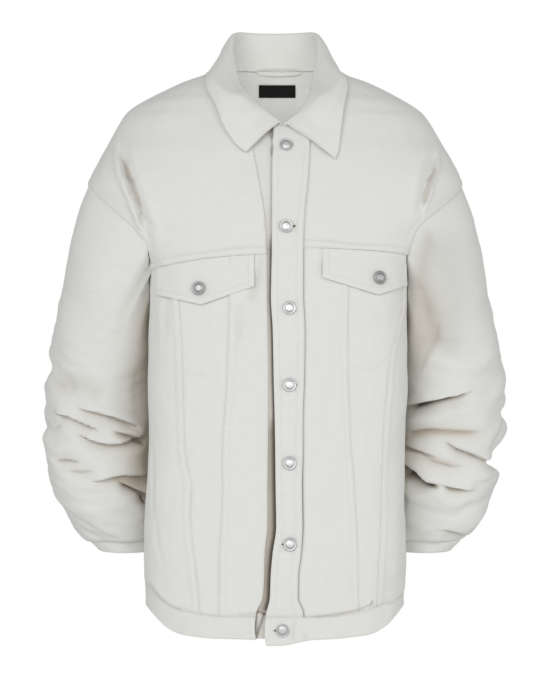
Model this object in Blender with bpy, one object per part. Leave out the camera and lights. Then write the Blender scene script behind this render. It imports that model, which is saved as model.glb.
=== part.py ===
"""Denim jacket, buttoned and filled out with no wearer, as separate cut pieces.

Metres, +Z up.  The front faces -Y and the wearer's left is at +X.  The origin lies between
the two neck points, at the level where the shoulders carry the jacket.

Every body piece is a patch of one surface.  A level of that surface is a rounded oval whose
half width, front, back and widest line come from the table BODY.  Each sleeve is a tube of
oval sections from the table SLEEVE that starts on the armhole seam.  Folds are troughs with a
soft ridge on either side.
"""
import math

import bpy
import numpy as np

CLOTH = 0.0020            # thickness of one wall
SEAM_GAP = 0.0003         # clearance between two pieces at a seam
OVERLAP_LIFT = 0.0032     # how far the left front rides over the right one
OVERLAP_START = 0.038     # where the left front begins to settle, and over what width
OVERLAP_SPAN = 0.065
UNDER_DROP = 0.0024       # how far the right placket lies behind the right front
UNDER_START = -0.044      # where the neckline starts to step down to the right placket
UNDER_SPAN = 0.012
UNDER_TUCK = 0.008        # how far the right placket reaches in behind the right front
UNDER_REACH = 0.0290      # its hidden edge, behind the top placket
UNDER_HEIGHTS = (-0.0800, -0.7340)
ARMHOLE_GAP = 0.0012      # twice the clearance left along the armhole, where the cloth turns
CREASE_GAP = 0.0009       # clearance where a sleeve folds back against the body under the arm

# Levels of the body from the back of the neck down to the hem.
# height, half width, centre shift, front y, back y, y of widest line, front and back squareness
BODY = np.array([
    (0.026, 0.068, 0.0000, -0.040, 0.078, 0.014, 0.00, 0.00),
    (0.017, 0.079, 0.0000, -0.050, 0.082, 0.013, 0.00, 0.00),
    (0.008, 0.088, 0.0000, -0.056, 0.085, 0.012, 0.00, 0.00),
    (0.000, 0.101, 0.0000, -0.062, 0.088, 0.011, 0.00, 0.00),
    (-0.008, 0.124, 0.0000, -0.067, 0.091, 0.010, 0.00, 0.00),
    (-0.019, 0.148, 0.0000, -0.074, 0.095, 0.009, 0.00, 0.00),
    (-0.030, 0.169, 0.0000, -0.080, 0.099, 0.008, 0.00, 0.00),
    (-0.041, 0.187, 0.0000, -0.086, 0.103, 0.006, 0.01, 0.01),
    (-0.051, 0.199, 0.0000, -0.091, 0.106, 0.004, 0.01, 0.02),
    (-0.062, 0.207, 0.0000, -0.096, 0.109, 0.002, 0.02, 0.02),
    (-0.084, 0.220, 0.0000, -0.105, 0.114, -0.002, 0.02, 0.03),
    (-0.116, 0.237, 0.0000, -0.117, 0.120, -0.008, 0.03, 0.04),
    (-0.150, 0.250, 0.0000, -0.128, 0.125, -0.014, 0.03, 0.05),
    (-0.190, 0.228, 0.0010, -0.138, 0.129, -0.028, 0.04, 0.07),
    (-0.230, 0.192, 0.0030, -0.145, 0.131, -0.044, 0.04, 0.09),
    (-0.262, 0.1705, 0.0048, -0.149, 0.131, -0.056, 0.05, 0.08),
    (-0.300, 0.1690, 0.0046, -0.152, 0.130, -0.064, 0.05, 0.06),
    (-0.350, 0.1695, 0.0042, -0.155, 0.129, -0.070, 0.05, 0.01),
    (-0.420, 0.1700, 0.0036, -0.158, 0.128, -0.076, 0.05, 0.00),
    (-0.490, 0.1670, 0.0022, -0.160, 0.128, -0.080, 0.05, 0.00),
    (-0.570, 0.1690, 0.0002, -0.162, 0.128, -0.082, 0.05, 0.00),
    (-0.640, 0.1710, 0.0000, -0.163, 0.129, -0.078, 0.05, 0.01),
    (-0.700, 0.1690, 0.0000, -0.161, 0.130, -0.064, 0.05, 0.02),
    (-0.745, 0.1620, 0.0000, -0.157, 0.126, -0.058, 0.05, 0.02),
])

# Edges of the two plackets, as x at a height: the right front's edge over its placket,
# and the left and right edge of the top placket.
# height, right front edge, top placket left edge, top placket right edge
PLACKET = np.array([
    (-0.079, -0.0340, -0.0022, 0.0460),
    (-0.115, -0.0271, -0.0034, 0.0446),
    (-0.160, -0.0190, -0.0038, 0.0415),
    (-0.200, -0.0128, -0.0040, 0.0372),
    (-0.240, -0.0106, -0.0041, 0.0358),
    (-0.300, -0.0100, -0.0051, 0.0356),
    (-0.344, -0.0090, -0.0029, 0.0375),
    (-0.400, -0.0082, -0.0018, 0.0369),
    (-0.450, -0.0084, -0.0006, 0.0352),
    (-0.500, -0.0090, 0.0003, 0.0350),
    (-0.540, -0.0094, 0.0007, 0.0340),
    (-0.592, -0.0095, 0.0015, 0.0347),
    (-0.628, -0.0131, -0.0032, 0.0325),
    (-0.655, -0.0137, -0.0055, 0.0291),
    (-0.683, -0.0156, -0.0066, 0.0288),
    (-0.702, -0.0235, -0.0110, 0.0355),
    (-0.720, -0.0257, -0.0130, 0.0360),
    (-0.737, -0.0266, -0.0115, 0.0365),
    (-0.745, -0.0268, -0.0085, 0.0365),
])

# The slanted seams of the fronts, as x at a height.
# height, right outer, right inner, left inner, left outer
SLANTS = np.array([
    (-0.2455, -0.1255, -0.0585, 0.0943, 0.1590),
    (-0.2850, -0.1240, -0.0585, 0.0940, 0.1665),
    (-0.305, -0.1227, -0.0585, 0.0938, 0.1668),
    (-0.340, -0.1198, -0.0592, 0.0930, 0.1590),
    (-0.380, -0.1180, -0.0605, 0.0929, 0.1478),
    (-0.417, -0.1168, -0.0617, 0.0938, 0.1434),
    (-0.453, -0.1157, -0.0645, 0.0955, 0.1396),
    (-0.490, -0.1147, -0.0668, 0.0966, 0.1377),
    (-0.518, -0.1108, -0.0672, 0.0994, 0.1366),
    (-0.543, -0.1056, -0.0665, 0.1010, 0.1354),
    (-0.577, -0.1075, -0.0675, 0.1030, 0.1358),
    (-0.608, -0.1055, -0.0694, 0.1048, 0.1345),
    (-0.640, -0.1013, -0.0712, 0.1056, 0.1320),
    (-0.675, -0.0978, -0.0712, 0.1062, 0.1308),
    (-0.712, -0.0940, -0.0710, 0.1068, 0.1306),
])

# Lower edge of the front yokes: x, height
FRONT_YOKE_EDGE = np.array([
    (-0.1750, -0.2690),
    (-0.1625, -0.2655),
    (-0.1478, -0.2626),
    (-0.1280, -0.2585),
    (-0.0945, -0.2531),
    (-0.0573, -0.2494),
    (-0.0115, -0.2469),
    (0.0382, -0.2392),
    (0.0830, -0.2403),
    (0.1281, -0.2424),
    (0.1700, -0.2455),
])
BACK_YOKE_HEIGHT = -0.228
YOKE_LEVEL = -0.245       # where the seams under the front yokes are read
NECK_LEVEL = -0.075       # where the plackets' edges are read at the neckline

# Neckline seen from the front, and from the back: distance from the middle, height
NECK_FRONT = np.array([
    (0.000, -0.0800),
    (0.030, -0.0760),
    (0.054, -0.0620),
    (0.071, -0.0410),
    (0.082, -0.0180),
    (0.087, 0.0000),
    (0.088, 0.0080),
])
NECK_BACK = np.array([
    (0.000, 0.0165),
    (0.040, 0.0160),
    (0.070, 0.0130),
    (0.088, 0.0080),
])

# Armhole seam from the shoulder forward and down to the yoke corner, one column a side, and
# from the shoulder backward and down, both seen from the front: distance out, height
ARMHOLE_FRONT_RIGHT = np.array([
    (0.2500, -0.1500),
    (0.2436, -0.1552),
    (0.2299, -0.1686),
    (0.2129, -0.1827),
    (0.2018, -0.1924),
    (0.1881, -0.2047),
    (0.1747, -0.2193),
    (0.1645, -0.2338),
    (0.1625, -0.2655),
])
ARMHOLE_FRONT_LEFT = np.array([
    (0.2500, -0.1500),
    (0.2450, -0.1570),
    (0.2302, -0.1723),
    (0.2117, -0.1879),
    (0.1950, -0.2017),
    (0.1829, -0.2151),
    (0.1764, -0.2306),
    (0.1712, -0.2455),
])
ARMHOLE_BACK = np.array([
    (0.2500, -0.1500),
    (0.2420, -0.1590),
    (0.2270, -0.1740),
    (0.2080, -0.1910),
    (0.1900, -0.2090),
    (0.1740, -0.2280),
])
# The rest of the armhole, under the arm: degrees round the body from the front, height
UNDERARM_FRONT = np.array([
    (84.0, -0.280),
    (93.0, -0.310),
    (101.0, -0.333),
    (109.0, -0.346),
])
UNDERARM_BACK = np.array([
    (115.0, -0.341),
    (119.0, -0.322),
    (121.0, -0.288),
    (123.0, -0.255),
])
SIDE_SEAM = 101.0         # degrees round the body at the hem; it starts under the arm

# Hem: degrees round from the front, height of the band's seam, height of its lower edge
HEM = np.array([
    (0.0, -0.7070, -0.7370),
    (12.0, -0.7075, -0.7365),
    (22.0, -0.7070, -0.7362),
    (32.0, -0.7035, -0.7345),
    (42.0, -0.6995, -0.7305),
    (52.0, -0.6900, -0.7200),
    (62.0, -0.6760, -0.7040),
    (75.0, -0.6720, -0.6990),
    (100.0, -0.6740, -0.7010),
    (140.0, -0.6860, -0.7140),
    (180.0, -0.6900, -0.7190),
])
TAB_DROP = 0.0065         # the band's left end hangs lower than the rest of the front
TAB_START = 0.006         # where that drop begins to fade, and over what width
TAB_SPAN = 0.050

# Sections of a sleeve from the armhole to the cuff.
# outer x, outer z, inner x, inner z, centre y, half depth, squareness
SLEEVE = np.array([
    (0.2500, -0.1500, 0.1610, -0.3520, -0.002, 0.100, 0.00),
    (0.2640, -0.1850, 0.1640, -0.3680, 0.002, 0.098, 0.00),
    (0.2775, -0.2330, 0.1650, -0.3830, 0.008, 0.095, 0.00),
    (0.2900, -0.2990, 0.1660, -0.4000, 0.016, 0.090, 0.00),
    (0.3050, -0.3640, 0.1660, -0.4240, 0.023, 0.086, 0.00),
    (0.3130, -0.4280, 0.1655, -0.4560, 0.026, 0.084, 0.00),
    (0.3140, -0.4860, 0.1645, -0.4940, 0.026, 0.083, 0.01),
    (0.3090, -0.5280, 0.1640, -0.5280, 0.026, 0.082, 0.02),
    (0.3000, -0.5600, 0.1630, -0.5580, 0.026, 0.079, 0.02),
    (0.2900, -0.5830, 0.1610, -0.5800, 0.026, 0.074, 0.02),
    (0.2780, -0.6040, 0.1590, -0.5990, 0.026, 0.068, 0.02),
    (0.2660, -0.6180, 0.1575, -0.6130, 0.025, 0.060, 0.01),
    (0.2550, -0.6270, 0.1570, -0.6220, 0.024, 0.053, 0.00),
    (0.2424, -0.6290, 0.1616, -0.6250, 0.024, 0.0450, 0.00),
])
CUFF_CENTRE = (0.2025, 0.024)
CUFF_HALF_WIDTH = 0.0390
CUFF_HALF_DEPTH = 0.0440
CUFF_TOP = -0.5980
CUFF_BOTTOM = -0.6420
ARM_RADIUS = 0.080        # turns degrees round a sleeve into metres for the folds
BODY_RADIUS = 0.170       # turns radians round the body into metres along the armhole

# Folds of the sleeves.  Degrees run from the outline (0) over the front (90) and the
# inner side (180) to the back (270).
# start degrees, start height, end degrees, end height, depth, width
FOLDS_RIGHT = np.array([
    (67.0, -0.4447, 134.0, -0.4671, 0.0060, 0.0080),
    (40.0, -0.4500, 96.0, -0.4816, 0.0075, 0.0080),
    (68.0, -0.4711, 108.0, -0.4935, 0.0085, 0.0080),
    (104.0, -0.4935, 154.0, -0.4790, 0.0085, 0.0080),
    (84.0, -0.5436, 114.0, -0.5331, 0.0065, 0.0090),
    (110.0, -0.5331, 158.0, -0.5357, 0.0085, 0.0095),
    (119.0, -0.5436, 158.0, -0.5620, 0.0060, 0.0080),
    (40.0, -0.5173, 76.0, -0.5173, 0.0030, 0.0090),
    (-24.0, -0.3960, 22.0, -0.3960, 0.0035, 0.0110),
    (-30.0, -0.4640, 44.0, -0.4600, 0.0050, 0.0095),
    (196.0, -0.4480, 270.0, -0.4640, 0.0060, 0.0095),
    (236.0, -0.4950, 318.0, -0.4760, 0.0070, 0.0095),
    (200.0, -0.5350, 262.0, -0.5480, 0.0065, 0.0095),
    (252.0, -0.5700, 326.0, -0.5560, 0.0050, 0.0100),
])
FOLDS_LEFT = np.array([
    (83.0, -0.4276, 146.0, -0.4420, 0.0060, 0.0080),
    (46.0, -0.4737, 152.0, -0.4764, 0.0065, 0.0085),
    (57.0, -0.5225, 104.0, -0.4896, 0.0060, 0.0080),
    (92.0, -0.5225, 154.0, -0.4935, 0.0060, 0.0080),
    (102.0, -0.5516, 156.0, -0.5159, 0.0100, 0.0095),
    (70.0, -0.5489, 106.0, -0.5516, 0.0070, 0.0090),
    (58.0, -0.6150, 92.0, -0.6080, 0.0040, 0.0080),
    (-34.0, -0.5250, 58.0, -0.5235, 0.0150, 0.0115),
    (-24.0, -0.4560, 20.0, -0.4560, 0.0030, 0.0090),
    (100.0, -0.3000, 128.0, -0.3700, 0.0050, 0.0140),
    (198.0, -0.4400, 276.0, -0.4600, 0.0060, 0.0095),
    (240.0, -0.5000, 320.0, -0.4840, 0.0065, 0.0095),
    (204.0, -0.5440, 268.0, -0.5560, 0.0065, 0.0095),
    (262.0, -0.5860, 330.0, -0.5740, 0.0045, 0.0100),
])

# Sections of the collar from its end on the right front, round the back, to its end on the
# left front: neck seam, fold and outer edge, each x, y, z.
COLLAR = np.array([
    (0.0040, -0.1035, -0.0790, 0.0055, -0.1085, -0.0705, -0.0375, -0.1215, -0.1147),
    (-0.0260, -0.1000, -0.0760, -0.0130, -0.0930, -0.0575, -0.0500, -0.1160, -0.1040),
    (-0.0530, -0.0905, -0.0615, -0.0300, -0.0710, -0.0400, -0.0655, -0.1080, -0.0810),
    (-0.0715, -0.0760, -0.0400, -0.0455, -0.0440, -0.0200, -0.0785, -0.0930, -0.0480),
    (-0.0835, -0.0480, -0.0130, -0.0530, -0.0160, 0.0080, -0.0910, -0.0660, -0.0185),
    (-0.0880, -0.0100, 0.0070, -0.0570, 0.0080, 0.0360, -0.0960, -0.0200, 0.0040),
    (-0.0870, 0.0300, 0.0110, -0.0590, 0.0330, 0.0590, -0.0980, 0.0280, 0.0060),
    (-0.0700, 0.0630, 0.0150, -0.0500, 0.0560, 0.0670, -0.0830, 0.0720, 0.0040),
    (-0.0380, 0.0800, 0.0175, -0.0270, 0.0690, 0.0676, -0.0460, 0.0960, 0.0020),
    (0.0000, 0.0850, 0.0180, 0.0000, 0.0730, 0.0676, 0.0000, 0.1020, 0.0010),
    (0.0380, 0.0800, 0.0175, 0.0270, 0.0690, 0.0676, 0.0460, 0.0960, 0.0020),
    (0.0700, 0.0630, 0.0150, 0.0510, 0.0560, 0.0670, 0.0830, 0.0720, 0.0040),
    (0.0870, 0.0300, 0.0110, 0.0600, 0.0330, 0.0590, 0.0980, 0.0280, 0.0060),
    (0.0880, -0.0100, 0.0070, 0.0570, 0.0060, 0.0330, 0.0980, -0.0200, 0.0040),
    (0.0835, -0.0480, -0.0130, 0.0530, -0.0180, 0.0050, 0.0960, -0.0640, -0.0200),
    (0.0715, -0.0790, -0.0400, 0.0480, -0.0500, -0.0260, 0.0900, -0.0930, -0.0520),
    (0.0530, -0.0950, -0.0615, 0.0390, -0.0780, -0.0480, 0.0850, -0.1080, -0.0880),
    (0.0330, -0.1040, -0.0745, 0.0260, -0.0990, -0.0650, 0.0800, -0.1160, -0.1120),
    (0.0140, -0.1085, -0.0790, 0.0150, -0.1110, -0.0722, 0.0745, -0.1210, -0.1230),
])
FOLD_RADIUS = 0.0034
FOLD_SHARE = 0.30         # the roll narrows where the stand is low
COLLAR_RISE = 0.0026      # from the neckline to the middle of the collar's lower edge
LEAF_CLEARANCE = 0.0058   # from the shoulders to the middle of the collar's cloth
LEAF_BOW = 0.0060

# Pocket flaps: where the sides, the point and the corners lie, as x and height.
# left x, right x, corner height left, point x, point height, corner height right
FLAP_RIGHT = (-0.1520, -0.0262, -0.2985, -0.0938, -0.3118, -0.2883)
FLAP_LEFT = (0.0600, 0.1690, -0.2775, 0.1319, -0.2990, -0.2860)
FLAP_CLEARANCE = 0.0010   # from the panel to the flap along its seam
FLAP_STANDOFF = 0.0014    # how much further its lower edge stands off
FLAP_COLUMNS = 5          # on either side of the point
FLAP_ROWS = 4

BUTTON_RADIUS = 0.0087
BUTTON_HEIGHT = 0.0042
BUTTON_SIDES = 12
# Front buttons on the top placket: x, height
FRONT_BUTTONS = np.array([
    (0.0148, -0.1059),
    (0.0143, -0.2117),
    (0.0182, -0.3158),
    (0.0185, -0.4135),
    (0.0186, -0.5123),
    (0.0190, -0.6147),
    (0.0094, -0.7237),
])
POCKET_BUTTON_RIGHT = (-0.0964, -0.2907)
POCKET_BUTTON_LEFT = (0.1323, -0.2768)

LABEL = (-0.0228, 0.0289, -0.0170, -0.0002)     # left x, right x, lower and upper height
LABEL_THICKNESS = 0.0008
LABEL_CLEARANCE = 0.0010  # from the back yoke, whose faces are flatter than the label's
LOOP = (-0.0265, 0.0390, 0.0080, 0.0135)        # the hanging loop, in the same order
LOOP_THICKNESS = 0.0014

# How finely each piece is divided
CENTRE_COLUMNS = 3
MIDDLE_COLUMNS = 4
ARMHOLE_ROWS = 7
UNDERARM_COLUMNS = 4
BACK_NECK_COLUMNS = 8
FRONT_NECK_COLUMNS = 5
BODY_ROWS = 11
ROW_CROWDING = 1.35
HEM_ROWS = 3
SLEEVE_TOP_ROWS = 5
SLEEVE_LOW_ROWS = 20
SLEEVE_PLAIN_SECTIONS = 4      # sections above the folds, spaced widely
COLLAR_STATIONS = 31
FOLD_STEPS = 5
STAND_STEPS = 3
LEAF_STEPS = 4
LABEL_COLUMNS = 4
LABEL_ROWS = 2
PLACKET_COLUMNS = 3
CUFF_ROWS = 3
NECKLINE_SAMPLES = 80
SHARP_ANGLE = 40.0        # degrees; edges turning more than this stay crisp

CLOTH_COLOUR = (0.78, 0.77, 0.74, 1.0)
METAL_COLOUR = (0.62, 0.62, 0.63, 1.0)
LABEL_COLOUR = (0.012, 0.012, 0.013, 1.0)


def clear_scene():
    for item in list(bpy.data.objects):
        bpy.data.objects.remove(item, do_unlink=True)


def make_material(name, colour, roughness, metallic):
    material = bpy.data.materials.new(name)
    material.use_nodes = True
    shader = material.node_tree.nodes["Principled BSDF"]
    shader.inputs["Base Color"].default_value = colour
    shader.inputs["Roughness"].default_value = roughness
    shader.inputs["Metallic"].default_value = metallic
    material.diffuse_color = colour
    return material


def smooth(at, knots, values):
    """Monotone cubic through the knots, held level beyond both ends."""
    knots = np.asarray(knots, float)
    values = np.asarray(values, float)
    if knots[0] > knots[-1]:
        knots = knots[::-1]
        values = values[::-1]
    steps = np.diff(knots)
    slopes = np.diff(values) / steps
    tangents = np.zeros_like(values)
    tangents[0] = slopes[0]
    tangents[-1] = slopes[-1]
    rising = slopes[:-1] * slopes[1:] > 0
    near = 2 * steps[1:] + steps[:-1]
    far = steps[1:] + 2 * steps[:-1]
    before = np.where(rising, slopes[:-1], 1.0)
    after = np.where(rising, slopes[1:], 1.0)
    tangents[1:-1] = np.where(rising, (near + far) / (near / before + far / after), 0.0)
    at = np.clip(np.asarray(at, float), knots[0], knots[-1])
    span = np.clip(np.searchsorted(knots, at, side="right") - 1, 0, len(steps) - 1)
    part = (at - knots[span]) / steps[span]
    rest = 1 - part
    value = (1 + 2 * part) * rest ** 2 * values[span] + part ** 2 * (3 - 2 * part) * values[span + 1]
    turn = part * rest ** 2 * tangents[span] - part ** 2 * rest * tangents[span + 1]
    return value + turn * steps[span]


def ease(at):
    """0 below 0, 1 above 1, and a soft step between."""
    at = np.clip(at, 0.0, 1.0)
    return at * at * (3 - 2 * at)


def body_level(height):
    return [smooth(height, BODY[:, 0], BODY[:, column]) for column in range(1, 8)]


def body_point(angle, height):
    """A point of the body's outer face; angles in radians from the front, + to the left side."""
    half, shift, front, back, widest, front_square, back_square = body_level(height)
    ahead = np.cos(angle) >= 0
    square = np.where(ahead, front_square, back_square)
    across = (np.sin(angle) + square * np.sin(3 * angle)) / (1 - square)
    along = (np.cos(angle) - square * np.cos(3 * angle)) / (1 - square)
    depth = np.where(ahead, front - widest, widest - back)
    return np.stack([shift + half * across, widest + depth * along, height + 0 * angle], -1)


def body_angle(x, height, rear=False):
    """The angle at which a level of the body reaches x, on its front or its back half."""
    half, shift, front, back, widest, front_square, back_square = body_level(height)
    square = back_square if rear else front_square
    target = np.clip((x - shift) / half, -1.0, 1.0) * (1 - square)
    low = np.full(np.shape(target), -math.pi / 2)
    high = np.full(np.shape(target), math.pi / 2)
    for _ in range(40):
        middle = (low + high) / 2
        over = np.sin(middle) + square * np.sin(3 * middle) > target
        high = np.where(over, middle, high)
        low = np.where(over, low, middle)
    angle = (low + high) / 2
    return np.where(angle < 0, -math.pi - angle, math.pi - angle) if rear else angle


def body_normal(angle, height):
    step = 2e-4
    round_body = body_point(angle + step, height) - body_point(angle - step, height)
    down_body = body_point(angle, height - step) - body_point(angle, height + step)
    return unit(np.cross(down_body, round_body))


def unit(vectors):
    return vectors / np.maximum(np.linalg.norm(vectors, axis=-1, keepdims=True), 1e-12)


def overlap_lift(x):
    """The left front rides over the right one near the middle and settles further out."""
    return OVERLAP_LIFT * (1 - ease((x - OVERLAP_START) / OVERLAP_SPAN))


def even_line(points, count):
    """Points at equal steps of length along a line."""
    points = np.asarray(points, float)
    lengths = np.concatenate([[0], np.cumsum(np.linalg.norm(np.diff(points, axis=0), axis=1))])
    at = np.linspace(0, lengths[-1], count + 1)
    return np.stack([np.interp(at, lengths, points[:, axis]) for axis in range(points.shape[1])], -1)


def rounded_line(points, count):
    """The same through a soft curve, measured along the line."""
    points = np.asarray(points, float)
    lengths = np.concatenate([[0], np.cumsum(np.linalg.norm(np.diff(points, axis=0), axis=1))])
    at = np.linspace(0, lengths[-1], 60)
    fine = np.stack([smooth(at, lengths, points[:, axis]) for axis in range(points.shape[1])], -1)
    return even_line(fine, count)


def shares_down(rows):
    """Shares of the way down a panel, closer together near its top."""
    return np.linspace(0, 1, rows + 1) ** ROW_CROWDING


def patch(left, right, top, bottom):
    """Fill four borders; each is an array of (angle, height) and meets the next at a corner."""
    across = np.linspace(0, 1, len(top))[None, :, None]
    down = shares_down(len(left) - 1)[:, None, None]
    sides = (1 - across) * left[:, None] + across * right[:, None]
    ends = (1 - down) * top[None] + down * bottom[None]
    corners = (1 - down) * ((1 - across) * top[0] + across * top[-1])
    corners = corners + down * ((1 - across) * bottom[0] + across * bottom[-1])
    return sides + ends - corners


def inward(border, beside):
    """Directions square to a border, toward the line of points beside it."""
    along = unit(np.gradient(border, axis=0))
    away = beside - border
    return unit(away - np.sum(away * along, axis=-1, keepdims=True) * along)


def seam_borders(points, gap, edges="lrtb"):
    """Draw the named borders of a grid of points back by half a seam's gap."""
    moved = points.copy()
    if "t" in edges:
        moved[0] += gap / 2 * inward(points[0], points[1])
    if "b" in edges:
        moved[-1] += gap / 2 * inward(points[-1], points[-2])
    if "l" in edges:
        moved[:, 0] += gap / 2 * inward(points[:, 0], points[:, 1])
    if "r" in edges:
        moved[:, -1] += gap / 2 * inward(points[:, -1], points[:, -2])
    return moved


def wall(name, outer, normals, material, thickness=CLOTH, ring=False):
    """Close a grid of outer points into a cloth wall of the given thickness."""
    rows, columns = outer.shape[:2]
    inner = outer - thickness * normals
    vertices = np.concatenate([outer.reshape(-1, 3), inner.reshape(-1, 3)])
    number = np.arange(rows * columns).reshape(rows, columns)
    if ring:
        number = np.concatenate([number, number[:, :1]], axis=1)
    far = number + rows * columns

    def halves(first, second, third, fourth, falling):
        """Two triangles for each four-sided face, split from its first corner if falling."""
        falling = np.asarray(falling)[..., None]
        one = np.where(falling, np.stack([first, second, third], -1),
                       np.stack([second, third, fourth], -1))
        other = np.where(falling, np.stack([first, third, fourth], -1),
                         np.stack([second, fourth, first], -1))
        return np.stack([one, other])

    def strip(first, second, falling):
        return halves(first[:-1], second[:-1], second[1:], first[1:], falling)

    spots = vertices[number]
    down = np.linalg.norm(spots[1:, 1:] - spots[:-1, :-1], axis=-1)
    up = np.linalg.norm(spots[1:, :-1] - spots[:-1, 1:], axis=-1)
    shorter = down <= up
    faces = [halves(number[:-1, :-1], number[1:, :-1], number[1:, 1:], number[:-1, 1:], shorter)]
    behind = halves(far[:-1, :-1], far[1:, :-1], far[1:, 1:], far[:-1, 1:], shorter)
    faces.append(behind[..., ::-1])
    faces.append(strip(far[0], number[0], False))
    faces.append(strip(number[-1], far[-1], True))
    if not ring:
        faces.append(strip(number[:, 0], far[:, 0], True))
        faces.append(strip(far[:, -1], number[:, -1], False))
    triangles = np.concatenate([block.reshape(-1, 3) for block in faces])
    return mesh_object(name, vertices, facing_out(vertices, triangles), material)


def facing_out(vertices, faces):
    """Turn all faces over if together they enclose a negative volume."""
    corners = vertices[faces]
    volume = 0.0
    for last in range(2, faces.shape[1]):
        turned = np.cross(corners[:, last - 1], corners[:, last])
        volume += np.sum(corners[:, 0] * turned)
    return faces if volume > 0 else faces[:, ::-1]


def mesh_object(name, vertices, faces, material):
    mesh = bpy.data.meshes.new(name)
    mesh.from_pydata(vertices.tolist(), [], faces.tolist())
    mesh.validate()
    mesh.update()
    mesh.materials.append(material)
    item = bpy.data.objects.new(name, mesh)
    mesh.shade_smooth()
    mesh.set_sharp_from_angle(angle=math.radians(SHARP_ANGLE))
    bpy.context.collection.objects.link(item)
    return item


def body_wall(name, borders, material, raised=None, thickness=CLOTH):
    """A piece of the body from its four borders of (angle, height), raised off the surface."""
    grid = patch(*borders)
    angle, height = grid[..., 0], grid[..., 1]
    normals = body_normal(angle, height)
    points = body_point(angle, height)
    if raised is not None:
        points = points + raised(points[..., 0])[..., None] * normals
    return wall(name, seam_borders(points, SEAM_GAP), normals, material, thickness)


def front_line(x_values, heights):
    """Borders on the front given as x and height."""
    return np.stack([body_angle(x_values, heights), heights], -1)


def across_front(start_x, end_x, columns, height_at):
    """Stations at even angles between two x values, on a line whose height depends on x."""
    ends = np.array([start_x, end_x])
    first, last = body_angle(ends, height_at(ends))
    angles = np.linspace(first, last, columns + 1)
    x_values = np.linspace(start_x, end_x, columns + 1)
    for _ in range(8):
        x_values = body_point(angles, height_at(x_values))[:, 0]
    return np.stack([angles, height_at(x_values)], -1)


def yoke_height(x):
    return np.interp(x, FRONT_YOKE_EDGE[:, 0], FRONT_YOKE_EDGE[:, 1])


def hem_height(angle, column):
    return smooth(np.abs(np.degrees(angle)), HEM[:, 0], HEM[:, column])


def placket_x(column, height):
    return smooth(height, PLACKET[:, 0], PLACKET[:, column])


def slant_x(column, height):
    return smooth(height, SLANTS[:, 0], SLANTS[:, column])


def neck_front(x):
    return smooth(np.abs(x), NECK_FRONT[:, 0], NECK_FRONT[:, 1])


def meet_hem(x_at, column, rear=False):
    """The height at which an edge, given as x at a height, meets a line of the hem."""
    height = HEM[:1, column].copy()
    for _ in range(20):
        height = hem_height(body_angle(x_at(height), height, rear), column)
    return float(height[0])


def edge_border(x_at, top, bottom, rows):
    """A border that follows an edge from one height to another."""
    heights = top + shares_down(rows) * (bottom - top)
    return front_line(x_at(heights), heights)


def hem_border(start, end, columns, column):
    angles = np.linspace(start, end, columns + 1)
    return np.stack([angles, hem_height(angles, column)], -1)


def joined(*lines):
    """Lines that share their end points, as one line."""
    return np.concatenate([lines[0]] + [line[1:] for line in lines[1:]])


class FrontSide:
    """The seams of one front, from the middle outward; side is -1 (right) or +1 (left)."""

    def __init__(self, side):
        self.side = side
        left = side > 0
        self.middle_x = lambda height: placket_x(3 if left else 1, height)
        self.inner_x = lambda height: slant_x(3 if left else 2, height)
        self.outer_x = lambda height: slant_x(4 if left else 1, height)
        armhole = ARMHOLE_FRONT_LEFT if left else ARMHOLE_FRONT_RIGHT
        line = rounded_line(armhole, ARMHOLE_ROWS)
        self.armhole = front_line(side * line[:, 0], line[:, 1])
        self.corner_x = side * armhole[-1, 0]
        self.side_columns = 2
        columns = CENTRE_COLUMNS + MIDDLE_COLUMNS + self.side_columns
        self.ridge_columns = columns - FRONT_NECK_COLUMNS

    def neck_start(self):
        x = float(self.middle_x(NECK_LEVEL))
        return x, float(neck_front(x))

    def yoke_line(self):
        """Stations along the yoke seam, from the placket to the armhole."""
        start = float(self.middle_x(YOKE_LEVEL))
        inner = float(self.inner_x(YOKE_LEVEL))
        outer = float(self.outer_x(YOKE_LEVEL))
        line = joined(across_front(start, inner, CENTRE_COLUMNS, yoke_height),
                      across_front(inner, outer, MIDDLE_COLUMNS, yoke_height),
                      across_front(outer, self.corner_x, self.side_columns, yoke_height))
        line[-1] = self.armhole[-1]
        return line

    def neckline(self):
        start_x, start_height = self.neck_start()
        rest = NECK_FRONT[NECK_FRONT[:, 0] > abs(start_x) + 2 * CLOTH]
        line = np.concatenate([[(abs(start_x), start_height)], rest])
        line = rounded_line(line, FRONT_NECK_COLUMNS)
        return front_line(self.side * line[:, 0], line[:, 1])

    def shoulder(self):
        """The shoulder seam, from the neck point to the top of the armhole."""
        heights = np.linspace(NECK_FRONT[-1, 1], ARMHOLE_BACK[0, 1], 41)
        ridge = body_point(self.side * math.pi / 2 + 0 * heights, heights)
        ridge = even_line(ridge, self.ridge_columns)
        return np.stack([np.full(len(ridge), self.side * math.pi / 2), ridge[:, 2]], -1)

    def underarm(self, table, corner):
        """Armhole stations between the side seam and a yoke corner, side seam first."""
        angles = np.radians(table[:, 0]) * self.side
        line = np.stack([angles, table[:, 1]], -1)
        if table is UNDERARM_FRONT:
            line = np.concatenate([[corner], line])[::-1]
        else:
            start = (self.side * math.radians(UNDERARM_FRONT[-1, 0]), UNDERARM_FRONT[-1, 1])
            line = np.concatenate([[start], line, [corner]])
        scale = np.array([BODY_RADIUS, 1.0])
        return rounded_line(line * scale, UNDERARM_COLUMNS) / scale

    def side_seam(self):
        top_angle, top = UNDERARM_FRONT[-1]
        bottom_angle = math.radians(SIDE_SEAM)
        bottom = float(hem_height(bottom_angle, 1))
        shares = shares_down(BODY_ROWS)
        angles = math.radians(top_angle) + shares * (bottom_angle - math.radians(top_angle))
        return np.stack([self.side * angles, top + shares * (bottom - top)], -1)


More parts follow.
